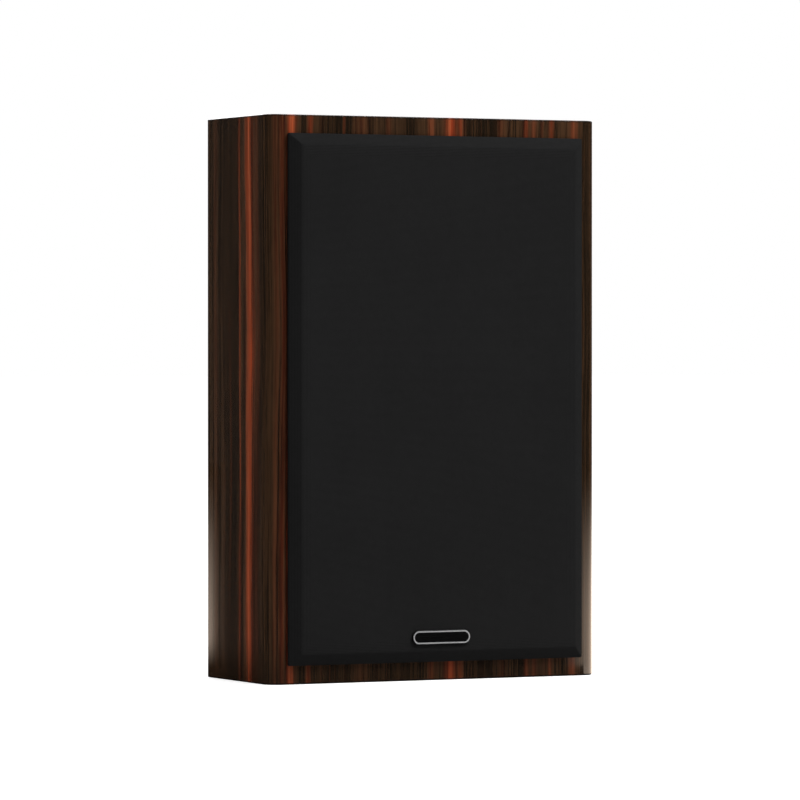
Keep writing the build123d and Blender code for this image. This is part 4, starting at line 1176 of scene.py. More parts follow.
@dataclass(frozen=True)
class Screw:
    """Sizes of one cylinder-headed screw with a hexagon socket."""

    head_radius: float
    head_height: float
    shank_radius: float
    length: float
    tip: float
    socket: float
    socket_depth: float
    socket_taper: float = 0.97
    socket_rim: Point = (0.14, 0.15)
    bevels: tuple[Point, ...] = ((0.45, 0.0), (0.12, 0.1), (0.0, 0.42))
    steps: int = 36
    sharp: float = 35.0

    def mesh(self, name: str, way: Way) -> Mesh:
        """The screw at the origin, its head in the plane of its seat.

        Args:
            name: Name of the mesh.
            way: Which way it goes in.

        Returns:
            The mesh.
        """
        wider, deeper = self.socket_rim
        hexagons = [(self.socket * self.socket_taper, self.socket_depth)]
        hexagons += [(self.socket, deeper), (self.socket + wider, 0.0)]
        rounds = [(self.head_radius - inset, along) for inset, along in self.bevels]
        rounds += [(radius, self.head_height) for radius in (self.head_radius, self.shank_radius)]
        rounds += [(self.shank_radius, self.length - self.tip)]
        shape = bmesh.new()
        rings = []
        for radius, along in hexagons + rounds:
            ring = []
            for n in range(self.steps):
                angle = 2.0 * math.pi * n / self.steps
                reach = radius
                if len(rings) < len(hexagons):
                    off_flat = angle % (math.pi / 3) - math.pi / 6
                    reach = radius * math.cos(math.pi / 6) / math.cos(off_flat)
                place = (reach * math.cos(angle), way.value * along, reach * math.sin(angle))
                ring.append(shape.verts.new(Vector(place) * MM))
            rings.append(ring)
        bridge(shape, rings)
        for ring, along in ((rings[0], self.socket_depth + deeper), (rings[-1], self.length)):
            end = shape.verts.new((0.0, way.value * along * MM, 0.0))
            for n in range(self.steps):
                shape.faces.new((end, ring[n], ring[(n + 1) % self.steps]))
        mesh = closed_mesh(name, shape)
        smooth(mesh, self.sharp)
        return mesh


@dataclass
class ScrewSet:
    """Alike screws, set by a node tree."""

    node: str
    screw: Screw
    places: Sequence[Point]
    seat: float
    way: Way
    seed: int

    def build(self, tree: NodeShape) -> Piece:
        """Set the screws at their places and stand them for their solids.

        Args:
            tree: The screw tree.

        Returns:
            The piece.
        """
        model = link(self.node + "_model", self.screw.mesh(self.node + "_one", self.way))
        spots = bpy.data.meshes.new(self.node + "_spots")
        spots.from_pydata([at(x, self.seat, z) for x, z in self.places], [], [])
        values = {"Screw": model, "Seed": self.seed, "Material": BLACK_STEEL.material()}
        piece = tree.make(self.node + "_set", spots, values)
        bpy.data.objects.remove(model)
        return settle(piece, "cabinet", "black_steel", self.node)


def screw_tree() -> NodeShape:
    """Tree that sets a screw on each point, each turned by chance from a fixed seed.

    Returns:
        The tree.
    """
    inputs = {
        "Screw": "NodeSocketObject",
        "Seed": "NodeSocketInt",
        "Material": "NodeSocketMaterial",
    }
    shape = NodeShape("screw_set", inputs)
    graph, given = shape.graph, shape.given
    model = graph.add("GeometryNodeObjectInfo", {"Object": given["Screw"]})
    turn = graph.add("FunctionNodeRandomValue", {"Seed": given["Seed"]}, data_type="FLOAT")
    limits = [s for s in turn.inputs if s.name in ("Min", "Max") and s.type == "VALUE"]
    for socket, value in zip(limits, (0.0, FULL_TURN)):
        socket.default_value = value
    angle = next(s for s in turn.outputs if s.type == "VALUE")
    feeds = {
        "Points": given["Geometry"],
        "Instance": model.outputs["Geometry"],
        "Rotation": graph.joined(0.0, angle, 0.0),
    }
    shape.finish(graph.add("GeometryNodeInstanceOnPoints", feeds).outputs[0])
    return shape


def winding_tree() -> NodeShape:
    """Tree that winds a coil: turns round its outside and a flat spiral on its front.

    Returns:
        The tree.
    """
    numbers = ("Bore", "Radius", "Height", "Wire", "Turns", "Layers")
    inputs = {label: "NodeSocketFloat" for label in numbers}
    inputs |= {"Place": "NodeSocketVector", "Material": "NodeSocketMaterial"}
    shape = NodeShape("coil_winding", inputs)
    graph, given = shape.graph, shape.given
    wire = given["Wire"]
    outer = graph.calc("SUBTRACT", given["Radius"], wire)
    inner = graph.calc("ADD", given["Bore"], wire)
    rise = graph.calc("SUBTRACT", given["Height"], graph.times(wire, 2.0))
    runs = graph.add("GeometryNodeJoinGeometry")
    for turns, start, height in ((given["Turns"], outer, rise), (given["Layers"], inner, 0.0)):
        feeds = {"Resolution": 28, "Rotations": turns, "Height": height}
        feeds |= {"Start Radius": start, "End Radius": outer}
        spiral = graph.add("GeometryNodeCurveSpiral", feeds)
        graph.feed(runs, {0: spiral.outputs[0]})
    section = graph.add("GeometryNodeCurvePrimitiveCircle", {"Resolution": 8, "Radius": wire})
    tube = {"Curve": runs.outputs[0], "Profile Curve": section.outputs[0], "Fill Caps": True}
    wound = graph.add("GeometryNodeCurveToMesh", tube)
    laid = {"Rotation": (-math.pi / 2, 0.0, 0.0), "Translation": given["Place"]}
    moved = graph.add("GeometryNodeTransform", {"Geometry": wound.outputs[0]} | laid)
    both = graph.add("GeometryNodeJoinGeometry")
    for geometry in (moved.outputs[0], given["Geometry"]):
        graph.feed(both, {0: geometry})
    shape.finish(both.outputs[0])
    return shape


@dataclass
class Cabinet:
    """Veneered box with its rear panel, shelf, foam pads, hangers and bumpers.

    How far a pad is crowned, drawn in at the middle of its edges and tapered towards its free face
    is a share of its half size.
    """

    back: float = 79.5
    pad_depths: Point = (25.0, 60.5)
    pad_walls: Point = (78.45, 90.45)
    pad_levels: tuple[Point, ...] = ((19.0, 166.09), (192.09, 293.0))
    pad_cuts: int = 12
    pad_fill: float = 0.8
    crown: float = 0.26
    drawn_in: Point = (0.05, 0.02)
    taper: Place = (0.06, 0.03, 0.02)
    ripple: Point = (0.5, 0.1)
    ripple_scale: float = 60.0
    hanger_x: tuple[float, ...] = (-79.0, -45.0, 45.0, 79.0)
    hanger_z: float = 281.0
    screw: Screw = Screw(2.4, 1.0, 1.4, 10.0, 2.8, 1.2, 0.6)
    seed: int = 5

    def pad(self, name: str, low: Vector, high: Vector) -> Piece:
        """One foam pad, flat on its wall, with a crowned face and drawn-in sides.

        Args:
            name: Name of the piece.
            low: Lowest corner of its solid.
            high: Highest corner of its solid.

        Returns:
            The piece.
        """
        shape = bmesh.new()
        bmesh.ops.create_cube(shape, size=2.0)
        bmesh.ops.subdivide_edges(
            shape, edges=shape.edges, cuts=self.pad_cuts, use_grid_fill=True
        )
        middle, half = (low + high) / 2.0, (high - low) / 2.0
        room = -1.0 if middle.x > 0 else 1.0
        (hem_y, hem_z), (taper_x, taper_y, taper_z) = self.drawn_in, self.taper
        swell, least = (size * MM for size in self.ripple)
        for point in shape.verts:
            a, b, c = point.co
            free = max(0.0, a * room)
            deep = 1.0 - self.crown * free * (max(abs(b), abs(c)) ** 6) - taper_x * free
            wide = 1.0 - hem_y * (1.0 - abs(c) ** 3) * (abs(b) > 0.99) - taper_y * free * free
            tall = 1.0 - hem_z * (1.0 - abs(b) ** 3) * (abs(c) > 0.99) - taper_z * free * free
            place = Vector((a * half.x * deep, b * half.y * wide, c * half.z * tall))
            ripple = abs(noise.noise((middle + place) * self.ripple_scale) * swell * free) + least
            point.co = middle + place - Vector((room * ripple, 0.0, 0.0)) * (free > 0)
        piece = new_piece(name, closed_mesh(name, shape), PAD_FOAM, 80.0)
        softer = piece.modifiers.new("softer", "SUBSURF")
        softer.levels = softer.render_levels = 1
        settle(piece, "cabinet", "foam", "damping_pads")
        return piece

    def build(self, screws: NodeShape) -> None:
        """Build the foam pads and the hanger screws.

        Args:
            screws: The screw tree.
        """
        for n, (low, high) in enumerate(self.pad_levels):
            for side, word in ((-1, "left"), (1, "right")):
                first, last = sorted(side * wall for wall in self.pad_walls)
                front, back = self.pad_depths
                name = f"damping_pad_{word}_{n + 1}"
                self.pad(name, at(first, front, low), at(last, back, high))
        places = [(x, self.hanger_z) for x in self.hanger_x]
        hangers = ScrewSet(
            "hanger_screws", self.screw, places, self.back, Way.FORWARDS, self.seed
        )
        hangers.build(screws)

    def dress(self) -> None:
        """Finish the panels and the fittings on the back."""
        sides = ("left_side_panel", "right_side_panel")
        dress(VENEER, "front_baffle", *sides, "top_panel", "bottom_panel")
        dress(REAR_PAINT, "rear_panel")
        dress(RAW_BOARD, "shelf_brace")
        dress(RUBBER, "rear_bumpers", "grille_cups")
        dress(ZINC, "keyhole_plates")


@dataclass
class Grille:
    """Pull-off grille: cloth stretched over a bevelled frame, with a blank badge."""

    half_width: float = 91.3
    half_height: float = 145.7
    bevel: float = 6.2
    front: float = -6.2
    edge: float = -1.9
    tuck: float = -0.13
    soft: float = 0.7
    corner: float = 0.9
    corner_least: float = 0.5
    corner_steps: int = 6
    hem: float = 4.6
    border: float = 6.0
    thickness: float = 0.14

    def profile(self) -> list[Point]:
        """Inset and depth along the cloth, from the end of its hem to the front.

        Returns:
            The points, in millimetres.
        """
        slope = math.hypot(self.bevel, self.edge - self.front)
        run = self.bevel / slope * self.soft
        rise = (self.front - self.edge) / slope * self.soft
        return [
            (self.hem, self.tuck),
            (self.hem * 0.5, self.tuck),
            (0.5, self.tuck),
            (0.12, -0.24),
            (0.0, -0.6),
            (0.0, self.edge + self.soft),
            (run * 0.22, self.edge + rise * 0.22 + 0.03),
            (run, self.edge + rise),
            (self.bevel * 0.5, (self.edge + self.front) / 2.0),
            (self.bevel - run, self.front - rise),
            (self.bevel - run * 0.1, self.front + 0.09),
            (self.bevel + self.soft * 0.8, self.front),
            (self.bevel + self.border, self.front),
        ]

    def loop(self, inset: float) -> list[Point]:
        """X and Z round one loop of the cloth.

        Args:
            inset: How far inside the outline it lies.

        Returns:
            The points, in millimetres.
        """
        wide, tall = self.half_width - inset, self.half_height - inset
        radius = max(self.corner_least, self.corner - inset * 0.12)
        points = []
        for n, (side, end) in enumerate(((1, 1), (-1, 1), (-1, -1), (1, -1))):
            centre = (side * (wide - radius), MIDDLE_Z + end * (tall - radius))
            points += arc(centre, radius, 90.0 * n, 90.0 * n + 90.0, self.corner_steps)
        return points

    def build(self) -> None:
        """Stretch the cloth as one sheet, with its cutting pattern as its UV map."""
        shape = bmesh.new()
        pattern = shape.loops.layers.uv.new("pattern")
        profile = self.profile()
        spare = [0.0] * len(profile)
        for n in range(len(profile) - 2, -1, -1):
            spare[n] = spare[n + 1] + math.dist(profile[n], profile[n + 1])
        last_inset = profile[-1][0]
        inner = self.loop(last_inset)
        flat: dict[Vertex, Point] = {}
        rows = []
        for (inset, depth), extra in zip(profile, spare):
            row = []
            for (x, z), (end_x, end_z) in zip(self.loop(inset), inner):
                point = shape.verts.new(at(x, depth, z))
                away = Vector((x - end_x, z - end_z))
                pull = extra / max(away.length, 1e-6)
                flat[point] = ((end_x + away.x * pull) * MM, (end_z + away.y * pull) * MM)
                row.append(point)
            rows.append(row)
        bridge(shape, rows)
        front_face = shape.faces.new(rows[-1])
        bmesh.ops.recalc_face_normals(shape, faces=shape.faces)
        if front_face.normal.y > 0:
            bmesh.ops.reverse_faces(shape, faces=shape.faces)
        for face in shape.faces:
            for corner in face.loops:
                corner[pattern].uv = flat[corner.vert]
        name = "grille_cloth_sheet"
        piece = new_piece(name, plain_mesh(name, shape), GRILLE_CLOTH)
        thick = piece.modifiers.new("thick", "SOLIDIFY")
        thick.thickness, thick.offset, thick.use_even_offset = self.thickness * MM, -1.0, True
        settle(piece, "grille", "grille_fabric", "grille_cloth")

    def dress(self) -> None:
        """Finish the frame, the studs and the badge."""
        dress(FRAME_PLASTIC, "grille_frame", "grille_studs")
        dress(BADGE, "grille_badge")


@dataclass
class Driver:
    """What both drivers have: an axis, a moving part, screws round the flange and a motor."""

    word: str
    axis: Point
    screw: Screw
    bolts: int
    bolt_radius: float
    first_bolt: float
    seed: int

    @property
    def mover(self) -> str:
        """Name of the moving body."""
        return self.word + "_moving_part"

    def flex_ring(self, piece: Piece, depth: float, still: float, moving: float) -> None:
        """Let a ring round the axis flex from one radius to another.

        Args:
            piece: The ring.
            depth: Depth at which the two radii are marked.
            still: Radius that stays.
            moving: Radius that moves fully.
        """

        def share(place: Vector) -> float:
            """Share of the movement at one place."""
            away = math.hypot(place.x / MM - self.axis[0], place.z / MM - self.axis[1])
            return (still - away) / (still - moving)

        ends = (at(self.axis[0], depth, self.axis[1] + radius) for radius in (still, moving))
        flex(piece, self.mover, share, *ends)

    def set_screws(self, tree: NodeShape) -> None:
        """Set the screws evenly round the flange.

        Args:
            tree: The screw tree.
        """
        places = []
        for n in range(self.bolts):
            angle = math.radians(self.first_bolt + 360.0 * n / self.bolts)
            x = self.axis[0] + self.bolt_radius * math.cos(angle)
            places.append((x, self.axis[1] + self.bolt_radius * math.sin(angle)))
        node = self.word + "_screws"
        ScrewSet(node, self.screw, places, 0.0, Way.BACKWARDS, self.seed).build(tree)

    def dress(self) -> None:
        """Finish the gasket, the motor and the terminal strip."""
        steel = TurnedFinish(self.word + "_pole_steel", STEEL, 0.34, self.axis)
        dress(GASKET_FOAM, self.word + "_gasket")
        dress(ENAMEL_WIRE, self.word + "_voice_coil")
        dress(steel, self.word + "_top_plate", self.word + "_yoke")
        dress(FERRITE, self.word + "_magnet")
        dress(STRIP_FIBRE, self.word + "_terminal_strip")


@dataclass
class Woofer(Driver):
    """Cone driver."""

    word: str = "woofer"
    axis: Point = (0.0, 107.0)
    screw: Screw = Screw(3.4, 2.2, 1.8, 16.5, 3.6, 1.7, 1.3)
    bolts: int = 6
    bolt_radius: float = 65.5
    first_bolt: float = 0.0
    seed: int = 11
    seat: float = 61.0
    mouth: float = 55.5
    roll: float = 3.6
    lip: float = 3.5
    skin: float = 0.8
    rim_depth: float = 3.0
    coil: float = 13.05
    spider_outer: float = 35.95
    spider_back: float = 29.95
    spider_flats: Point = (2.5, 4.5)
    spider_waves: float = 4.0
    spider_rise: float = 0.75
    spider_thickness: float = 0.5
    lead_x: float = 5.0
    lead_top: float = 152.1
    lead_fall: float = 1.6
    lead_foot: float = 21.0
    lead_radius: float = 0.58
    roll_steps: int = 128
    spider_steps: int = 96

    def surround(self) -> None:
        """Rubber half roll that flexes between the basket and the cone."""
        front, back = self.rim_depth - self.skin, self.rim_depth - 0.02
        inner, middle = self.mouth - 2 * self.roll, self.mouth - self.roll
        lip, seat = inner - self.lip, self.seat - 0.1
        small = self.roll - self.skin
        outline = [(lip, back), (lip + 0.05, front + 0.25), (lip + 0.35, front)]
        outline += [(inner - 0.5, front)]
        outline += arc((middle, front), self.roll, 184.0, 356.0, 24)
        outline += [(self.mouth + 0.5, front), (self.seat - 0.5, front), (seat, front + 0.3)]
        outline += [(seat, back), (middle + small, back)]
        outline += arc((middle, front), small, 0.0, -180.0, 18)
        outline += [(middle - small, back)]
        name = "woofer_surround_roll"
        piece = new_piece(name, turned_mesh(name, outline, self.axis, self.roll_steps), RUBBER)
        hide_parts("woofer_surround")
        self.flex_ring(piece, 2.0, self.mouth, inner)

    def spider(self) -> None:
        """Corrugated cloth disc that centres the coil."""
        inner_flat, outer_flat = self.spider_flats
        first, last = self.coil + inner_flat, self.spider_outer - outer_flat
        steps = 64
        line: list[Point] = [(self.coil, self.spider_back)]
        for n in range(steps + 1):
            share = n / steps
            wave = 1.0 - math.cos(2.0 * math.pi * self.spider_waves * share)
            depth = self.spider_back - self.spider_rise * wave
            line.append((first + (last - first) * share, depth))
        line.append((self.spider_outer, self.spider_back))
        outline = line + [(radius, depth - self.spider_thickness) for radius, depth in line[::-1]]
        name = "woofer_spider_disc"
        mesh = turned_mesh(name, outline, self.axis, self.spider_steps)
        piece = new_piece(name, mesh, SPIDER_CLOTH)
        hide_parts("woofer_spider")
        self.flex_ring(piece, 30.0, last, first)

    def lead(self, name: str, x: float) -> None:
        """One braided lead from the terminal strip to the back of the cone.

        Args:
            name: Name of the piece.
            x: Where it leaves the strip.
        """
        high, low = self.lead_top - self.lead_fall, self.axis[1] + self.lead_foot
        route = [
            (x, 27.7, self.lead_top),
            (x, 25.6, self.lead_top - 0.2),
            (x, 23.9, high),
            (x * 1.05, 24.0, low + 13.0),
            (x * 1.1, 23.0, low + 6.0),
            (x * 1.15, 21.6, low),
        ]
        curve = bpy.data.curves.new("lead", "CURVE")
        curve.dimensions, curve.use_fill_caps = "3D", True
        curve.bevel_depth, curve.bevel_resolution = self.lead_radius * MM, 3
        curve.resolution_u = 8
        line = curve.splines.new("NURBS")
        line.points.add(len(route) - 1)
        for point, place in zip(line.points, route):
            point.co = (*at(*place), 1.0)
        line.order_u, line.use_endpoint_u = 3, True
        shape = bmesh.new()
        shape.from_mesh(drawn_mesh("lead", link("lead_carrier", curve)))
        piece = new_piece(name, closed_mesh(name, shape), TINSEL, 60.0)
        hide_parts("woofer_tinsel_leads")

        def share(place: Vector) -> float:
            """Share of the movement at one place."""
            return (high - place.z / MM) / (high - low)

        flex(piece, self.mover, share, at(x, 24.0, high), at(x, 22.0, low))

    def build(self, screws: NodeShape) -> None:
        """Build the soft pieces and the screws.

        Args:
            screws: The screw tree.
        """
        self.surround()
        self.spider()
        self.lead("woofer_lead_left", -self.lead_x)
        self.lead("woofer_lead_right", self.lead_x)
        self.set_screws(screws)

    def dress(self) -> None:
        """Finish the basket, the cone and the hard pieces of every driver."""
        super().dress()
        dress(BASKET_COAT, "woofer_basket")
        dress(CONE_PULP, "woofer_cone", "woofer_dust_cap")
        dress(FORMER_FILM, "woofer_coil_former")


@dataclass
class Tweeter(Driver):
    """Dome driver."""

    word: str = "tweeter"
    axis: Point = (0.0, 228.0)
    screw: Screw = Screw(3.0, 2.0, 1.6, 16.0, 3.2, 1.5, 1.2)
    bolts: int = 4
    bolt_radius: float = 41.66
    first_bolt: float = 45.0
    seed: int = 23
    dome: float = 12.75
    throat: float = 17.5
    seat: float = 7.5
    skin: float = 0.35
    clearance: float = 0.6
    lip: float = 2.5
    roll_steps: int = 96

    def surround(self) -> None:
        """Small half roll that flexes between the faceplate and the dome."""
        end, lip = self.throat - self.clearance, self.throat + self.lip
        middle, roll = (self.dome + end) / 2.0, (end - self.dome) / 2.0
        small = roll - self.skin
        back = self.seat + self.skin
        outline = [(self.dome, back)]
        outline += arc((middle, self.seat), roll, 180.0, 360.0, 18)
        outline += [(lip, self.seat + 0.02), (lip, back), (middle + small, back)]
        outline += arc((middle, self.seat), small, 0.0, -180.0, 14)
        outline += [(middle - small, back)]
        name = "tweeter_surround_roll"
        mesh = turned_mesh(name, outline, self.axis, self.roll_steps)
        piece = new_piece(name, mesh, DOME_SILK)
        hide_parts("tweeter_surround")
        self.flex_ring(piece, 7.0, end, self.dome)

    def build(self, screws: NodeShape) -> None:
        """Build the surround and the screws."""
        self.surround()
        self.set_screws(screws)

    def dress(self) -> None:
        """Finish the faceplate, the dome and the hard pieces of every driver."""
        super().dress()
        dress(FACE_PLASTIC, "tweeter_faceplate")
        dress(DOME_SILK, "tweeter_dome")


@dataclass
class Terminals:
    """Recessed cup with two screw terminals."""

    height: float = 228.0
    spacing: float = 12.0
    face: float = 79.5
    screw_x: float = 41.0
    screw_z: float = 28.0
    screw: Screw = Screw(2.6, 1.5, 1.4, 10.5, 2.8, 1.3, 0.9)
    seed: int = 31

    def build(self, screws: NodeShape) -> None:
        """Set the cup's screws.

        Args:
            screws: The screw tree.
        """
        signs = ((-1, -1), (-1, 1), (1, -1), (1, 1))
        places = [(i * self.screw_x, self.height + k * self.screw_z) for i, k in signs]
        corners = ScrewSet(
            "terminal_screws", self.screw, places, self.face, Way.FORWARDS, self.seed
        )
        corners.build(screws)

    def dress(self) -> None:
        """Finish the cup and the terminals."""
        dress(CUP_PLASTIC, "terminal_cup", "post_collars")
        dress(GASKET_FOAM, "terminal_gasket")
        dress(RED_PLASTIC, "red_knob")
        dress(BLACK_PLASTIC, "black_knob")
        for word, side in (("red", 1.0), ("black", -1.0)):
            axis = (side * self.spacing, self.height)
            washer = TurnedFinish(f"{word}_washer_gold", GOLD, 0.2, axis, 0.25)
            dress(washer, f"{word}_clamp_washer")
        dress(GOLD_PLATE, "post_studs", "post_nuts", "post_solder_tags")


@dataclass
class Crossover:
    """Filter board with its coils, capacitors and resistor, and the wires inside.

    The sizes of a coil are its X, radius and height.
    """

    board_front: float = 60.9
    board_z: float = 280.5
    big: Place = (-32.0, 15.0, 18.0)
    small: Place = (36.0, 11.0, 11.0)
    bore: float = 5.0
    wire: float = 0.55
    core_steps: int = 48

    def coil(self, node: str, sizes: Place, tree: NodeShape) -> None:
        """Wind one inductor.

        Args:
            node: The solid it stands for.
            sizes: X, radius and height.
            tree: The winding tree.
        """
        x, radius, height = sizes
        back, front = self.board_front, self.board_front - height
        inside, face = radius - 1.7 * self.wire, front + 1.2 * self.wire
        outline = [(self.bore, face), (inside, face), (inside, back), (self.bore, back)]
        core = turned_mesh(node + "_core", outline, (x, self.board_z), self.core_steps)
        step = 2.0 * self.wire
        values = {
            "Bore": self.bore * MM,
            "Radius": radius * MM,
            "Height": height * MM,
            "Wire": self.wire * MM,
            "Turns": float(math.floor((height - step) / step)),
            "Layers": float(math.floor((radius - self.bore - step) / step)),
            "Place": tuple(at(x, front + self.wire, self.board_z)),
            "Material": ENAMEL_WIRE.material(),
        }
        settle(tree.make(node + "_winding", core, values), "cabinet", "copper", node)

    def build(self, tree: NodeShape) -> None:
        """Wind both inductors."""
        self.coil("woofer_inductor", self.big, tree)
        self.coil("tweeter_inductor", self.small, tree)

    def dress(self) -> None:
        """Finish the board's other pieces and the wires."""
        dress(CIRCUIT, "crossover_board")
        dress(NYLON, "crossover_standoffs")
        dress(CAPACITOR_FILM, "crossover_capacitors")
        dress(RESISTOR_CERAMIC, "crossover_resistor")
        dress(INPUT_SLEEVE, "input_wires")
        dress(PAIR_SLEEVE, "woofer_wires", "tweeter_wires")


@dataclass(frozen=True)
class Lamp:
    """One soft box."""

    name: str
    place: Place
    size: float
    power: float
    mirrored: bool = True


@dataclass(frozen=True)
class Flag:
    """One bent dark card that only mirrorings show.

    Its angles go from +X towards +Y in degrees, and its rings give a radius and a height in metres.
    """

    name: str
    start: float
    end: float
    rings: tuple[Point, ...]


@dataclass(frozen=True)
class Bounce:
    """One low pale card that only mirrorings show, in metres.

    It glows fully over a share of its height and fades upwards, at its first end and over its foot.
    Its louvre lets the glow out on the level only, and its apron is the outline of a part on the
    floor.
    """

    name: str
    ends: tuple[Point, Point]
    heights: Point
    glow: float
    fade: float
    foot: float
    fade_power: float = 2.5
    full_share: float = 0.14
    louvre: Point = (0.1, 0.22)
    apron: tuple[Point, ...] = ()
    apron_height: float = 0.0002
    tint: Colour = (1.0, 0.8, 0.64)


@dataclass
class Studio:
    """Pale floor, white surroundings, soft boxes, cards and the camera, in metres and degrees."""

    aim: Place = (0.0, 0.0, 0.15)
    eye: Place = (-1.3135, -2.6003, 0.183)
    heading: float = 26.74
    dip: float = 0.55
    lens: float = 233.8
    sensor: float = 36.0
    sight: float = 200.0
    flag_step: float = 6.0
    dim: Colour = (0.12, 0.12, 0.12)
    white: Colour = (1.0, 1.0, 1.0)
    paper: Colour = (0.72, 0.72, 0.72)
    cloth: Colour = (0.02, 0.02, 0.02)
    floor_level: float = -0.0002
    floor_reach: float = 30.0
    floor_fade: Point = (0.6, 4.0)
    floor_glow: Point = (0.8, 0.97)
    opening: float = 75.0
    opening_edge: Point = (18.0, 40.0)
    lamps: tuple[Lamp, ...] = (
        Lamp("key_box", (1.2, -1.3, 2.45), 1.2, 118.0),
        Lamp("fill_box", (-2.2, 1.0, 0.8), 1.4, 26.0, False),
        Lamp("back_box", (0.5, 2.0, 1.6), 1.4, 24.0),
    )
    cards: tuple[Flag, ...] = (
        Flag("flag_left", 92.0, 314.0, ((0.01, -0.0001), (1.2, 0.0), (1.2, 2.4))),
        Flag("flag_right", 314.0, 420.0, ((1.2, 0.0), (1.2, 2.4))),
        Flag("flag_foot", 314.0, 420.0, ((0.01, -0.0001), (1.2, -0.0001))),
    )
    bounces: tuple[Bounce, ...] = (
        Bounce(
            "bounce_left",
            ends=((-0.1306, 0.0865), (-0.1203, 0.0917)),
            heights=(0.001, 0.118),
            glow=1.85,
            fade=0.53,
            foot=0.021,
        ),
        Bounce(
            "bounce_right",
            ends=((0.1304, -0.1419), (0.21, 0.07)),
            heights=(-0.003, 0.118),
            glow=3.2,
            fade=0.13,
            foot=0.002,
            apron=((0.0985, -0.041), (0.1405, -0.115), (0.21, 0.07), (0.104, -0.03)),
        ),
    )

    def camera(self) -> None:
        """Stand the camera where the photograph was taken from."""
        data = bpy.data.cameras.new("photo_camera")
        data.lens, data.sensor_width, data.clip_end = self.lens, self.sensor, self.sight
        eye = link("photo_camera", data)
        eye.location = self.eye
        eye.rotation_euler = (math.radians(90.0 - self.dip), 0.0, math.radians(-self.heading))
        bpy.context.scene.camera = eye

    def light(self) -> None:
        """Hang the soft boxes and light the surroundings."""
        for lamp in self.lamps:
            data = bpy.data.lights.new(lamp.name, "AREA")
            data.shape, data.size, data.energy = "SQUARE", lamp.size, lamp.power
            box = link(lamp.name, data)
            box.location = lamp.place
            box.visible_glossy = lamp.mirrored
            way = Vector(self.aim) - Vector(lamp.place)
            box.rotation_euler = way.to_track_quat("-Z", "Y").to_euler()
        world = bpy.data.worlds.new("studio")
        bpy.context.scene.world = world
        world.use_nodes = True
        graph = Graph(world.node_tree)
        sky = graph.blend(graph.watched(), shade(self.dim), shade(self.white))
        graph.feed(world.node_tree.nodes["Background"], {"Color": sky})

    def floor(self) -> None:
        """Lay the pale floor, which keeps the shadow."""
        mesh = bpy.data.meshes.new("studio_floor")
        reach = self.floor_reach
        corners = ((-reach, -reach), (reach, -reach), (reach, reach), (-reach, reach))
        mesh.from_pydata([(x, y, self.floor_level) for x, y in corners], [], [(0, 1, 2, 3)])
        material, graph, shader = new_material("floor_paper")
        nodes = material.node_tree.nodes
        nodes.remove(shader)
        paper = graph.add("ShaderNodeBsdfDiffuse", {"Color": shade(self.paper)})
        off = graph.add("ShaderNodeVectorMath", {0: graph.spot()}, operation="LENGTH")
        glow = graph.scaled(off.outputs["Value"], *self.floor_fade, *self.floor_glow)
        feeds = {"Color": shade(self.white), "Strength": graph.times(graph.watched(), glow)}
        lit = graph.add("ShaderNodeEmission", feeds)
        both = graph.add("ShaderNodeAddShader", {0: paper.outputs[0], 1: lit.outputs[0]})
        graph.feed(nodes["Material Output"], {"Surface": both.outputs[0]})
        mesh.materials.append(material)
        link("studio_floor", mesh)

    def mirror_card(self, name: str, mesh: Mesh, material: Material) -> None:
        """Add a card that shows in mirrorings alone.

        Args:
            name: Name of the card.
            mesh: Its mesh.
            material: Its material.
        """
        mesh.materials.append(material)
        card = link(name, mesh)
        card.visible_camera = card.visible_diffuse = card.visible_shadow = False
        card.visible_transmission = card.visible_volume_scatter = False

    def flag_cloth(self) -> Material:
        """Dark cloth that thins out softly towards the opening behind the cabinet.

        Returns:
            The material.
        """
        material, graph, cloth = new_material("flag_cloth")
        graph.feed(cloth, {"Base Color": shade(self.cloth), "Specular IOR Level": 0.0})
        gap = math.radians(self.opening)
        level = {0: graph.spot(), 1: (1.0, 1.0, 0.0)}
        way = graph.add("ShaderNodeVectorMath", level, operation="MULTIPLY")
        way = graph.add("ShaderNodeVectorMath", {0: way.outputs["Vector"]}, operation="NORMALIZE")
        facing = {0: way.outputs["Vector"], 1: (math.cos(gap), math.sin(gap), 0.0)}
        way = graph.add("ShaderNodeVectorMath", facing, operation="DOT_PRODUCT")
        clear, full = (math.cos(math.radians(angle)) for angle in self.opening_edge)
        cover = graph.scaled(way.outputs["Value"], full, clear, 1.0, 0.0)
        gauze = graph.add("ShaderNodeBsdfTransparent").outputs[0]
        both = graph.add("ShaderNodeMixShader", {0: cover, 1: gauze, 2: cloth.outputs[0]})
        out = material.node_tree.nodes["Material Output"]
        graph.feed(out, {"Surface": both.outputs[0]})
        return material

    def flag(self, flag: Flag, cloth: Material) -> None:
        """Stand or lay one dark card that keeps the lacquer from mirroring the white surroundings.

        Args:
            flag: The card.
            cloth: Its material.
        """
        shape = bmesh.new()
        steps = max(4, round((flag.end - flag.start) / self.flag_step))
        rows = [
            [
                shape.verts.new((x, y, height))
                for x, y in arc((0.0, 0.0), radius, flag.start, flag.end, steps)
            ]
            for radius, height in flag.rings
        ]
        bridge(shape, rows, closed=False)
        self.mirror_card(flag.name, plain_mesh(flag.name, shape), cloth)

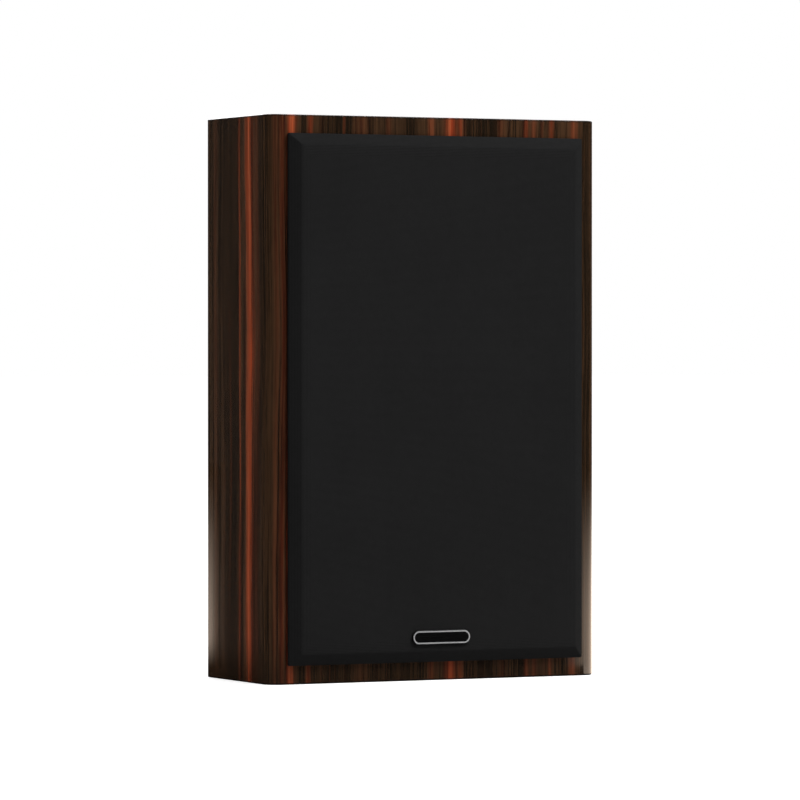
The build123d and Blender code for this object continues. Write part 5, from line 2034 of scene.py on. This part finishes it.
    def bounce(self, card: Bounce) -> None:
        """Stand one pale card that glows low on the lacquer.

        Args:
            card: The card.
        """
        paper, graph, shader = new_material(card.name)
        x, y, z = graph.split(graph.spot())
        (ax, ay), (bx, by) = card.ends
        low, high = card.heights
        wide, deep = bx - ax, by - ay
        run = graph.calc("MULTIPLY_ADD", x, wide, graph.times(y, deep))
        first, whole = ax * wide + ay * deep, wide * wide + deep * deep
        along = graph.scaled(run, first, first + whole * card.fade)
        along = graph.calc("POWER", along, card.fade_power)
        up = graph.scaled(z, low + (high - low) * card.full_share, high, card.glow, 0.0)
        foot = graph.scaled(z, low, low + card.foot)
        tilt = graph.split(graph.add("ShaderNodeNewGeometry").outputs["Incoming"])[2]
        level = graph.scaled(graph.calc("ABSOLUTE", tilt), *card.louvre, 1.0, 0.0)
        feeds = {
            "Base Color": (0.0, 0.0, 0.0, 1.0),
            "Emission Color": shade(card.tint),
            "Emission Strength": graph.times(along, up, foot, level),
        }
        graph.feed(shader, feeds)
        mesh = bpy.data.meshes.new(card.name)
        points = [(ax, ay, low), (bx, by, low), (bx, by, high), (ax, ay, high)]
        faces = [tuple(range(len(points)))]
        if card.apron:
            faces.append(tuple(range(len(points), len(points) + len(card.apron))))
            points += [(px, py, card.apron_height) for px, py in card.apron]
        mesh.from_pydata(points, [], faces)
        self.mirror_card(card.name, mesh, paper)

    def build(self) -> None:
        """Set the whole studio up."""
        self.camera()
        self.light()
        self.floor()
        cloth = self.flag_cloth()
        for flag in self.cards:
            self.flag(flag, cloth)
        for card in self.bounces:
            self.bounce(card)
        bpy.context.scene.view_settings.view_transform = "Standard"


def main() -> None:
    """Build every sub-assembly in order."""
    logging.basicConfig(level=logging.INFO, format="%(message)s")
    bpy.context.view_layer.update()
    screws, winding = screw_tree(), winding_tree()
    cabinet, grille, woofer, tweeter = Cabinet(), Grille(), Woofer(), Tweeter()
    terminals, crossover = Terminals(), Crossover()
    cabinet.build(screws)
    grille.build()
    woofer.build(screws)
    tweeter.build(screws)
    terminals.build(screws)
    crossover.build(winding)
    for part in (cabinet, grille, woofer, tweeter, terminals, crossover):
        part.dress()
    Studio().build()


if __name__ == "__main__":
    main()
